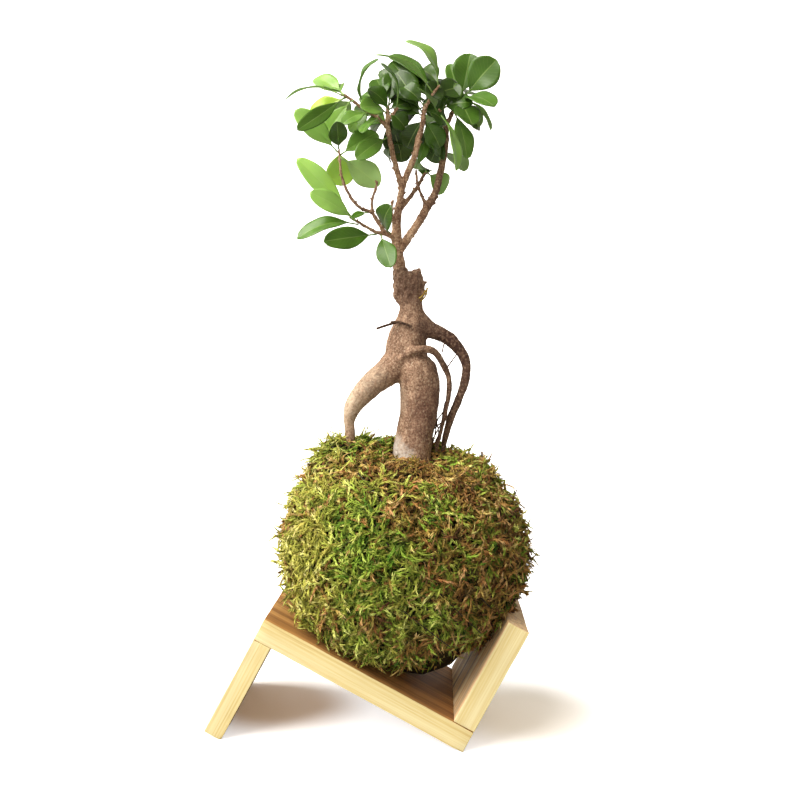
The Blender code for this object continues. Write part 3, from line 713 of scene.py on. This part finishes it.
def makeLeaf(name, keys, roughness):
    # tone by age and by painted light and shade, a pale midrib, and faint side veins as fine raised lines
    material, tree, shader = newMaterial(name, roughness)
    coords = addNode(tree, "ShaderNodeTexCoord").outputs
    drift = maths(tree, "MULTIPLY_ADD", cloudy(tree, coords["Object"], 1 / (9 * mm), 3.0), 0.22, -0.11)
    tone = maths(tree, "ADD", attribute(tree, "ageAndLight"), drift)
    tint = ramped(tree, tone, (0.0, 0.36, 0.70, 1.0), [leafLook[key] for key in keys])
    flat = addNode(tree, "ShaderNodeSeparateXYZ", {"Vector": coords["UV"]}).outputs
    across = maths(tree, "ABSOLUTE", maths(tree, "SUBTRACT", flat["X"], 0.5))
    rib = ranged(tree, across, 0.05, 0.015)
    slope = maths(tree, "MULTIPLY_ADD", across, -0.55, flat["Y"])
    phase = maths(tree, "FRACT", maths(tree, "MULTIPLY", slope, leafLook["veinPairs"]))
    ridge = maths(tree, "ABSOLUTE", maths(tree, "SUBTRACT", phase, 0.5))
    vein = ranged(tree, ridge, 0.12, 0.0, 0.0, 0.05)
    lines = maths(tree, "MULTIPLY_ADD", rib, leafLook["ribStrength"], vein)
    setLook(tree, shader, mixed(tree, lines, tint, hexColour(leafLook["rib"])), 0.38)
    setBump(tree, shader, lines, 0.35, 0.2 * mm)
    shader.inputs["Subsurface Weight"].default_value = 0.3
    shader.inputs["Subsurface Radius"].default_value = (0.7, 1.0, 0.25)
    shader.inputs["Subsurface Scale"].default_value = 0.9 * mm
    return material


leafTop = makeLeaf("waxyFigLeaf", ("dark", "grown", "freshAndLit", "youngAndLit"), 0.3)
leafUnder = makeLeaf("figLeafUnderside", ("underDark", "underGrown", "underPale", "underYoungAndLit"), 0.55)
blade = masterBlade()
stalk = masterStalk()
for index, ageAndLight in enumerate(leafAgeAndLight):
    nodeName = "leaf_%02d" % (index + 1)
    leaf = readLeaf(nodes[nodeName])
    leaf["width"] *= leafBreadth.get(index + 1, 1.0)
    piece = buildLeaf("figLeaf_%02d" % (index + 1), leaf, ageAndLight, index * 1.7, 0.15, blade, stalk,
                      (leafTop, leafUnder))
    finish(piece, None, "fig_leaf", nodeName)
for index, (foot, tip, width, face, ageAndLight) in enumerate(crownLeaves):
    start = Vector(foot) * mm
    axis = Vector(tip) * mm - start
    length = axis.length
    axis.normalize()
    normal = Vector(face) - axis * Vector(face).dot(axis)
    normal.normalize()
    leaf = dict(start=start, axis=axis, length=length, side=axis.cross(normal), normal=normal,
                width=width * mm, bow=2.5 * mm)
    piece = buildLeaf("crownLeaf_%02d" % (index + 1), leaf, ageAndLight, index * 2.3, leafLook["twist"], blade,
                      stalk, (leafTop, leafUnder))
    finish(piece, None, "fig_leaf")
for master in (blade, stalk):
    bpy.data.objects.remove(master)
print("leaves finished:", len(leafAgeAndLight) + len(crownLeaves))


# moss ball
# Sheet moss: short curved feathery sprigs lying over one another, bright at their tips and darker at their
# bases, painted shade between them, yellower on the lit side, painted light, gone dry and orange-brown round
# the trunk's foot and in patches.

mossLook = dict(
    seed=11, ballCentre=Vector((16.5, 0.6, 99.2)) * mm, trunkFoot=Vector((20, -14, 150)) * mm,
    # where the moss is heaped up or hollowed: place, radius, height
    bulges=[((-25, -4, 155), 15, 10), ((-15, -10, 160), 11, 3), ((20, -27, 152), 16, -8),
            ((-52, -5, 82), 20, -5), ((18, -14, 32), 24, -9), ((45, 0, 38), 20, -10),
            ((47, -38, 50), 13, -6)],
    # dry clumps, and spots of yellow-green painted light: place, radius, amount
    drySpots=[((15, -63, 128), 8, 1.0), ((50, -44, 138), 9, 1.0), ((44, -36, 149), 9, 1.0),
              ((-40, -10, 142), 8, 0.6), ((-13, -32, 150), 10, 0.8), ((70, -44, 106), 16, 0.35),
              ((57, -54, 85), 14, 0.35), ((20, -30, 152), 18, 0.9)],
    litYellowSpots=[((-44, -34, 100), 18, 0.8), ((-35, -45, 85), 15, 0.5), ((-14, -47, 138), 8, 0.5)],
    # dry frizz lying on the moss: place, spread, number of sprigs
    clumps=[((15, -63, 128), 7, 90), ((50, -44, 138), 8, 80), ((44, -36, 149), 6, 60),
            ((-13, -32, 150), 9, 80), ((-40, -10, 142), 6, 40), ((20, -30, 152), 12, 260),
            ((33, -52, 118), 6, 40)],
    # stray tufts that break the outline: place, leaning which way, number of sprigs
    tufts=[((-56, 0, 98), (-1, 0, 0.1), 36), ((-30, -6, 162), (-0.6, 0, 0.9), 46),
           ((-20, -12, 164), (0, -0.5, 0.3), 60), ((-34, -8, 150), (-0.6, -0.3, 0.2), 50),
           ((86, -4, 92), (0.6, 0, -0.6), 30), ((84, -6, 72), (0.5, 0, -1), 26),
           ((-6, -2, 167), (0, 0, 1), 24), ((52, -4, 158), (0.6, 0, 0.8), 24)],
    collarSprigs=700, collarCentre=(20.5, -18, 200), collarReach=(6, 20),
    # length, width, lift in degrees, height over the moss
    tuftLook=((8 * mm, 12 * mm), (1.6 * mm, 2.6 * mm), (10, 48), 0.0),
    collarLook=((4 * mm, 7 * mm), (1.3 * mm, 2.3 * mm), (-5, 25), 1.6 * mm),
    clumpLook=((4 * mm, 7.5 * mm), (1.3 * mm, 2.2 * mm), (0, 50), 1.4 * mm),
    # sprigs of the cover: number, length, width, distance kept from the trunk
    feathers=15000, feathersLong=(7.0 * mm, 14.0 * mm), feathersWide=(2.8 * mm, 4.6 * mm),
    feathersClear=2.2 * mm, frizz=6500, frizzLong=(4.0 * mm, 8.0 * mm), frizzWide=(1.2 * mm, 2.0 * mm),
    frizzClear=0.6 * mm, perPiece=3750, spares=40000,
    # how a sprig sways, rises and droops, in lengths
    tameBends=[(0.40, 0.36, 0.42), (-0.50, 0.30, 0.36), (0.70, 0.40, 0.30), (-0.20, 0.40, 0.55),
               (-0.85, 0.34, 0.40)],
    wildBends=[(0.7, 0.6, 0.7), (-0.8, 0.5, 0.4), (0.55, 0.9, 0.9), (-0.6, 0.8, 1.0), (0.9, 0.4, 0.5)],
    flowSize=13 * mm, sink=1.2 * mm, depthByShade=2.2 * mm, lump=2.6 * mm, lumpSize=8 * mm,
    lumpShift=(1, 2, 3), baseSink=1.8 * mm, baseRelief=1.4 * mm, innerReach=44 * mm,
    greenDark="#1c280c", green="#4f7d20", greenLight="#8fb636", greenTip="#d4e470",
    # yellow-green moss for the lit side and the lit spots: painted light
    sunDark="#454312", sun="#9a9f38", sunLight="#d0d162", sunTip="#efeca0",
    dryDark="#24160c", dry="#6a4528", dryLight="#ad7440", dryTip="#dcb07c",
    gap="#15120b", mat="#2f2b12")


def sprigShape(sway, rise, droop):
    # A feather of moss. Columns: along, sway and curl in lengths, then across and up in widths
    points, faces = [], []

    def spine(share):
        bend = sway * share
        return [share * (1 - 0.35 * abs(bend)), bend * share, rise * share - droop * share * share]

    for share in (0.0, 0.28, 0.56, 0.82):
        half = 0.25 * (1 - 0.65 * share)
        for across, up in ((half, 0), (-half, 0), (0, half)):
            points.append(spine(share) + [across, up])
    points.append(spine(1.0) + [0, 0])
    faces.append((0, 1, 2))
    for near in (0, 3, 6):
        for corner in range(3):
            after = (corner + 1) % 3
            faces.append((near + corner, near + 3 + corner, near + 3 + after))
            faces.append((near + corner, near + 3 + after, near + after))
    faces += [(9, 12, 10), (10, 12, 11), (11, 12, 9)]
    for share, hand in ((0.10, 1), (0.24, -1), (0.40, 1), (0.54, -1), (0.68, 1)):
        start = len(points)
        points.append(spine(share) + [hand * 0.08, -0.02])
        points.append(spine(share + 0.15) + [hand * 0.08, -0.02])
        points.append(spine(share + 0.07) + [hand * 0.10, 0.24])
        points.append(spine(min(1.0, share + 0.32)) + [hand * (0.66 - 0.35 * share), 0.16])
        ring = [start, start + 1, start + 2] if hand > 0 else [start + 1, start, start + 2]
        faces.append((ring[0], ring[1], ring[2]))
        for corner in range(3):
            faces.append((ring[(corner + 1) % 3], ring[corner], start + 3))
    return np.array(points), np.array(faces)


def surfaceSamples(count, rng):
    # random places on the moss cover's outer face, with outward directions
    mesh = nodes["moss_cover"].data
    mesh.calc_loop_triangles()
    corners = np.array([[mesh.vertices[i].co for i in triangle.vertices] for triangle in mesh.loop_triangles])
    cross = np.cross(corners[:, 1] - corners[:, 0], corners[:, 2] - corners[:, 0])
    area = np.linalg.norm(cross, axis=1) / 2
    outward = corners.mean(axis=1) - np.array(mossLook["ballCentre"])
    facing = (cross * outward).sum(axis=1) > 0
    far = np.linalg.norm(outward, axis=1)
    keep = facing & (area > 1e-12) & (far > mossLook["innerReach"])
    chance = np.where(keep, area, 0.0)
    picks = rng.choice(len(area), count, p=chance / chance.sum())
    first, second = rng.random(count), rng.random(count)
    flip = first + second > 1
    first[flip], second[flip] = 1 - first[flip], 1 - second[flip]
    a, b, c = (corners[picks][:, corner] for corner in range(3))
    places = a + (b - a) * first[:, None] + (c - a) * second[:, None]
    normals = cross[picks] / np.linalg.norm(cross[picks], axis=1)[:, None]
    return places, normals


def pressAgainstBoards(points):
    # keeps moss out of the seat and the stop where it rests on them
    tilt = stand["tilt"]
    down = np.array([math.cos(tilt), 0, -math.sin(tilt)])
    off = np.array([math.sin(tilt), 0, math.cos(tilt)])
    seat = np.array([vertex.co for vertex in nodes["seat_board"].data.vertices])
    stop = np.array([vertex.co for vertex in nodes["stop_board"].data.vertices])
    over = (points[:, 1] > seat[:, 1].min() - 1 * mm) & (points[:, 1] < seat[:, 1].max() + 1 * mm)
    under = points @ off - ((seat @ off).max() + 0.3 * mm)
    push = np.where((under < 0) & over, -under, 0.0)
    points = points + push[:, None] * off
    past = points @ down - ((stop @ down).min() - 0.3 * mm)
    held = over & (points @ off < (stop @ off).max() + 0.5 * mm)
    push = np.where((past > 0) & held, past, 0.0)
    return points - push[:, None] * down


def nearSpots(places, spots):
    # sum of soft round influences at each place
    total = np.zeros(len(places))
    for spot, radius, amount in spots:
        away = np.linalg.norm(places - np.array(spot) * mm, axis=1) / (radius * mm)
        total += amount * np.exp(-away ** 2)
    return total


def bulgeAt(places):
    return nearSpots(places, mossLook["bulges"]) * mm


def noiseAt(places, size, shift):
    return np.array([noise.noise(Vector(place) / size + Vector(shift)) for place in places])


def trunkDistance(places, tree):
    return np.array([tree.find_nearest(Vector(place), 40 * mm)[3] or 40 * mm for place in places])


def mossColours(places, frizzy, rng):
    # dryness, and yellowing that stands for painted light, of each sprig by where on the ball it grows
    centre = np.array(mossLook["ballCentre"])
    away = (places - centre) / (68 * mm)
    toFoot = np.linalg.norm(places - np.array(mossLook["trunkFoot"]), axis=1)
    patch = noiseAt(places, 14 * mm, (3, 5, 8))
    chance = 0.08 + 0.85 * np.exp(-(toFoot / (25 * mm)) ** 2)
    chance += 0.48 * np.clip((away[:, 0] - 0.15) / 0.6, 0, 1) + 0.20 * np.clip(-away[:, 2] - 0.45, 0, 1)
    chance += np.clip(patch - 0.15, 0, 1) * 1.8 - 0.15 * np.clip(-patch, 0, 1)
    chance += 0.35 * frizzy + nearSpots(places, mossLook["drySpots"])
    dry = rng.random(len(places)) < chance
    dryness = np.where(dry, rng.uniform(0.6, 1.0, len(places)), rng.uniform(0.0, 0.30, len(places)))
    warm = noiseAt(places, 19 * mm, (8, 1, 2))
    # yellower on the left, where the lamp falls, and at the lit spots: painted light
    litYellowing = 0.25 + 0.75 * np.clip((-away[:, 0] - 0.25) / 0.5, 0, 1) + warm * 0.9
    litYellowing += rng.normal(0, 0.22, len(places))
    litYellowing += nearSpots(places, mossLook["litYellowSpots"])
    return dryness, np.clip(litYellowing, 0, 1)


def layMoss(name, places, normals, lengths, widths, lifts, frizzy, rng, material, lean=None, above=0.0):
    # one mesh of many sprigs, each laid at a place with its own heading, lift, size and tint
    variants = [sprigShape(*bend) for bend in mossLook["wildBends" if frizzy else "tameBends"]]
    count = len(places)
    kinds = rng.integers(0, len(variants), count)
    flow = np.array([noise.noise_vector(Vector(place) / mossLook["flowSize"]) for place in places])
    heading = flow * 1.3 + rng.normal(size=(count, 3)) * 0.75
    heading[:, 2] -= 0.2
    if lean is not None:
        heading = heading * 0.35 + np.array(lean)
    heading -= normals * (heading * normals).sum(axis=1)[:, None]
    heading /= np.linalg.norm(heading, axis=1)[:, None]
    side = np.cross(normals, heading)
    forward = heading * np.cos(lifts)[:, None] + normals * np.sin(lifts)[:, None]
    upward = normals * np.cos(lifts)[:, None] - heading * np.sin(lifts)[:, None]
    roll = rng.normal(0, 0.6, count)
    turnedSide = side * np.cos(roll)[:, None] + upward * np.sin(roll)[:, None]
    turnedUp = upward * np.cos(roll)[:, None] - side * np.sin(roll)[:, None]
    shades = np.clip(rng.random(count) + noiseAt(places, 6 * mm, (9, 9, 1)) * 0.35, 0, 1)
    raised = noiseAt(places, mossLook["lumpSize"], mossLook["lumpShift"]) * mossLook["lump"]
    raised = raised - mossLook["sink"] + above
    # darker sprigs sit lower and brighter ones on top: painted shade in the under-layer
    raised += bulgeAt(places) + (shades - 0.5) * mossLook["depthByShade"]
    starts = places + normals * raised[:, None]
    dryness, litYellowing = mossColours(places, float(frizzy), rng)
    allPoints, allFaces, columns = [], [], {"shade": [], "dry": [], "sun": [], "along": []}
    offset = 0
    for kind, (shape, faces) in enumerate(variants):
        chosen = np.nonzero(kinds == kind)[0]
        length, width = lengths[chosen, None, None], widths[chosen, None, None]
        points = starts[chosen, None, :] + shape[None, :, 0:1] * length * forward[chosen, None, :]
        for bend, spread, way in ((1, 3, turnedSide), (2, 4, turnedUp)):
            reach = shape[None, :, bend:bend + 1] * length + shape[None, :, spread:spread + 1] * width
            points = points + reach * way[chosen, None, :]
        allPoints.append(points.reshape(-1, 3))
        steps = offset + np.arange(len(chosen))[:, None, None] * len(shape)
        allFaces.append((faces[None] + steps).reshape(-1, 3))
        for label, values in (("shade", shades), ("dry", dryness), ("sun", litYellowing)):
            columns[label].append(np.repeat(values[chosen], len(shape)))
        columns["along"].append(np.tile(shape[:, 0], len(chosen)))
        offset += len(chosen) * len(shape)
    points = pressAgainstBoards(np.concatenate(allPoints))
    faces = np.concatenate(allFaces)
    mesh = bpy.data.meshes.new(name)
    mesh.vertices.add(len(points))
    mesh.vertices.foreach_set("co", points.astype(np.float32).ravel())
    mesh.loops.add(len(faces) * 3)
    mesh.loops.foreach_set("vertex_index", faces.astype(np.int32).ravel())
    mesh.polygons.add(len(faces))
    mesh.polygons.foreach_set("loop_start", np.arange(0, len(faces) * 3, 3, dtype=np.int32))
    mesh.update(calc_edges=True)
    for label, values in columns.items():
        mesh.attributes.new(label, "FLOAT", "POINT")
        mesh.attributes[label].data.foreach_set("value", np.concatenate(values).astype(np.float32))
    finish(link(bpy.data.objects.new(name, mesh)), material, "moss")


def layHandful(kind, name, places, normals, rng, material, lean=None):
    # sprigs that differ from the rest in length, width and lift, and lie higher
    longs, wides, lifts, above = mossLook[kind + "Look"]
    count = len(places)
    layMoss(name, places, normals, rng.uniform(*longs, count), rng.uniform(*wides, count),
            np.radians(rng.uniform(*lifts, count)), kind != "tuft", rng, material, lean, above)


def matRelief(place):
    lump = noise.noise(place / mossLook["lumpSize"] + Vector(mossLook["lumpShift"])) * mossLook["lump"]
    relief = mossLook["baseRelief"] * abs(noise.noise(place / (4 * mm)))
    return float(bulgeAt(np.array([place]))[0]) - mossLook["baseSink"] + min(0.0, lump) - relief


def layCover(rng, trunkTree, material):
    # green feathers first, then dry frizz, shorter and flatter near the trunk
    for kind, frizzy in (("Feathers", False), ("Frizz", True)):
        total, longs, wides, clearance = (mossLook[kind.lower() + part]
                                          for part in ("", "Long", "Wide", "Clear"))
        places, normals = surfaceSamples(total, rng)
        gap = trunkDistance(places, trunkTree)
        keep = gap > clearance
        places, normals, gap = places[keep], normals[keep], gap[keep]
        count = len(places)
        near = np.clip(gap / (15 * mm), 0.0, 1.0)
        order = np.argsort(np.arctan2(places[:, 1], places[:, 0] - mossLook["ballCentre"].x))
        lifts = np.radians(np.where(rng.random(count) < 0.15, rng.uniform(26, 50, count),
                                    rng.uniform(-4, 26, count))) * near
        lengths = rng.uniform(*longs, count) * (0.45 + 0.55 * near)
        widths = rng.uniform(*wides, count)
        for index in range(0, count, mossLook["perPiece"]):
            part = order[index:index + mossLook["perPiece"]]
            layMoss("moss%s_%d" % (kind, index // mossLook["perPiece"] + 1), places[part], normals[part],
                    lengths[part], widths[part], lifts[part], frizzy, rng, material)


def layCollar(rng, trunkTree, grounds, material):
    # dry frizz packed round the foot of the main root, on the mat or the soil, whichever is higher
    count = mossLook["collarSprigs"]
    x, y, z = mossLook["collarCentre"]
    angles, reach = rng.uniform(0, 2 * math.pi, count), rng.uniform(*mossLook["collarReach"], count)
    ring = []
    for angle, distance in zip(angles, reach):
        above = Vector((x + distance * math.cos(angle), y + distance * math.sin(angle), z)) * mm
        hits = [ground.ray_cast(above, Vector((0, 0, -1)))[0] for ground in grounds]
        heights = [hit.z for hit in hits if hit]
        if heights:
            ring.append((above.x, above.y, max(heights) + 0.3 * mm))
    ring = np.array(ring)
    outward = ring - np.array(mossLook["ballCentre"])
    outward /= np.linalg.norm(outward, axis=1)[:, None]
    ring -= outward * bulgeAt(ring)[:, None]
    clear = trunkDistance(ring, trunkTree) > 0.4 * mm
    layHandful("collar", "mossCollar", ring[clear], outward[clear], rng, material)


def makeMossMaterial():
    material, tree, shader = newMaterial("sheetMossSprigs", 0.75)
    shade, dry, sun, along = (attribute(tree, label) for label in ("shade", "dry", "sun", "along"))
    # darker towards each sprig's base: painted shade between the sprigs
    tone = maths(tree, "MULTIPLY_ADD", shade, 0.6, maths(tree, "MULTIPLY_ADD", along, 0.5, 0.0))
    green, yellow, brown = (ramped(tree, tone, (0.10, 0.42, 0.74, 1.0),
                                   [mossLook[family + part] for part in ("Dark", "", "Light", "Tip")])
                            for family in ("green", "sun", "dry"))
    setLook(tree, shader, mixed(tree, dry, mixed(tree, sun, green, yellow), brown), 0.3)
    return material


def buildMoss():
    rng = np.random.default_rng(mossLook["seed"])
    noise.seed_set(mossLook["seed"])  # noise vectors follow the clock unless they are seeded
    base = nodeCopy("moss_cover", "mossMat")
    modify(base, "soften", "SUBSURF", subdivision_type="SIMPLE", levels=1, render_levels=1)
    applyAll(base)
    pushOut(base, matRelief)
    mat = makeGrainy("mossMatUnderSprigs", 0.95, mossLook["gap"], mossLook["mat"], 2.2 * mm, 1.2 * mm)
    finish(base, mat, "moss", "moss_cover")
    sprigFinish = makeMossMaterial()
    trunkTree = surfaceTree(nodes["rootstock"].data)
    layCover(rng, trunkTree, sprigFinish)
    places, normals = surfaceSamples(mossLook["spares"], rng)
    for index, (spot, lean, count) in enumerate(mossLook["tufts"]):
        away = np.linalg.norm(places - np.array(spot) * mm, axis=1)
        near = np.argsort(away)[:count * 3]
        chosen = rng.choice(near, count, replace=False)
        layHandful("tuft", "mossTuft_%d" % (index + 1), places[chosen], normals[chosen], rng, sprigFinish,
                   lean)
    grounds = [surfaceTree(ground) for ground in (nodes["soil_core"].data, base.data)]
    layCollar(rng, trunkTree, grounds, sprigFinish)
    for index, (spot, spread, count) in enumerate(mossLook["clumps"]):
        away = np.linalg.norm(places - np.array(spot) * mm, axis=1)
        near = np.nonzero(away < away.min() + spread * mm)[0]
        near = near[trunkDistance(places[near], trunkTree) > 0.5 * mm]
        chosen = rng.choice(near, min(count, len(near)), replace=False)
        layHandful("clump", "mossClump_%d" % (index + 1), places[chosen], normals[chosen], rng, sprigFinish)


buildMoss()
wound = nodeCopy("binding_thread", "woundThread")
for vertex in wound.data.vertices:
    outward = (vertex.co - mossLook["ballCentre"]).normalized()
    vertex.co += outward * float(bulgeAt(np.array([vertex.co]))[0])
finish(wound, twine, "thread", "binding_thread")
middle = mossLook["ballCentre"] / mm
runs = [[(38, -67, 92), (46, -64, 84), (53, -58, 76), (60, -48, 68)],
        [(52, -58, 96), (58, -54, 88), (66, -46, 80)], [(20, -72, 84), (32, -69, 74), (44, -62, 64)]]
runs = [[middle + (Vector(place) - middle) * 1.035 for place in run] for run in runs]
finish(threadPiece("tyingThread", runs, 0.5 * mm), twine, "thread")
print("moss finished")


# floor, lights and camera

studio = dict(
    floorPale="#f7f7f7", floorDim="#a0a0a0", floorGlow=0.72, worldStrength=0.30,
    sweepStart=1.2, sweepRun=0.8, sweepBend=1.6,
    # patches where the floor's painted glow fades, so the cast shadow shows, warmed by the glow that is left:
    # middle, inner and outer radius, what glow is left
    shades=[((-58, 14, 0), 24, 66, (0.20, 0.135, 0.08)), ((92, 18, 0), 24, 84, (0.34, 0.30, 0.23))],
    worldTint="#fff1e2", sunTint="#fffaf4",
    sunHeading=(0.613, 0.326, -0.719), sunSpread=math.radians(60), sunStrength=5.9,
    fillHeading=(0.35, 0.80, -0.42), fillSpread=math.radians(50), fillStrength=0.8,
    cameraPlace=(32.84 * mm, -582.66 * mm, 218.4 * mm), cameraAim=(10.89 * mm, 16.13 * mm, 187.34 * mm),
    cameraRoll=2.14, lens=45.0)


def floorHeight(y):
    # flat, then curving up behind, then straight
    behind = max(0.0, y - studio["sweepStart"])
    curved = min(behind, studio["sweepRun"])
    slope = 2 * studio["sweepBend"] * studio["sweepRun"]
    return studio["sweepBend"] * curved ** 2 + slope * (behind - curved)


def buildFloor():
    floor = primitive("plane", size=8.0, location=(0, 1.0, 0))
    bpy.ops.object.transform_apply(location=True, rotation=True, scale=True)
    floor.name = "floor"
    subdivide(40)
    for vertex in floor.data.vertices:
        vertex.co.z = floorHeight(vertex.co.y)
    floor.data.shade_smooth()
    material, tree, shader = newMaterial("paintedStudioFloor", 0.9)
    # the floor looks white but sends back less light than it shows
    seen = addNode(tree, "ShaderNodeLightPath").outputs["Is Camera Ray"]
    tint = mixed(tree, seen, hexColour(studio["floorDim"]), hexColour(studio["floorPale"]))
    setLook(tree, shader, tint, 0.0)
    coords = objectCoords(tree)
    # the floor glows for the camera: painted light that whitens its cast shadows, except in the patches,
    # where a weaker, warm painted glow is left
    lift = hexColour("#ffffff")
    for middle, inner, outer, left in studio["shades"]:
        mask = ranged(tree, distanceFrom(tree, coords, middle), inner * mm, outer * mm, 1.0, 0.0,
                      interpolation_type="SMOOTHSTEP")
        lift = mixed(tree, mask, lift, (*(c / studio["floorGlow"] for c in left), 1.0))
    tree.links.new(lift, shader.inputs["Emission Color"])
    strength = maths(tree, "MULTIPLY", seen, studio["floorGlow"])
    tree.links.new(strength, shader.inputs["Emission Strength"])
    floor.data.materials.append(material)


def buildStudio():
    buildFloor()
    scene = bpy.context.scene
    world = bpy.data.worlds.new("softWhiteRoom")
    world.use_nodes = True
    background = world.node_tree.nodes["Background"]
    background.inputs["Color"].default_value = hexColour(studio["worldTint"])
    background.inputs["Strength"].default_value = studio["worldStrength"]
    scene.world = world
    for name in ("sun", "fill"):
        light = bpy.data.lights.new(name + "Light", "SUN")
        light.energy = studio[name + "Strength"]
        light.angle = studio[name + "Spread"]
        light.color = hexColour(studio["sunTint"])[:3]
        lamp = link(bpy.data.objects.new(name + "Light", light))
        lamp.rotation_euler = Vector(studio[name + "Heading"]).to_track_quat("-Z", "Y").to_euler()
    lensData = bpy.data.cameras.new("camera")
    lensData.lens = studio["lens"]
    lensData.clip_start = 0.01
    camera = link(bpy.data.objects.new("camera", lensData))
    camera.location = studio["cameraPlace"]
    look = (Vector(studio["cameraAim"]) - camera.location).to_track_quat("-Z", "Y").to_matrix()
    roll = Matrix.Rotation(math.radians(studio["cameraRoll"]), 3, "Z")
    camera.rotation_euler = (look @ roll).to_euler()
    scene.camera = camera
    scene.view_settings.view_transform = "Standard"


buildStudio()
print("studio finished")
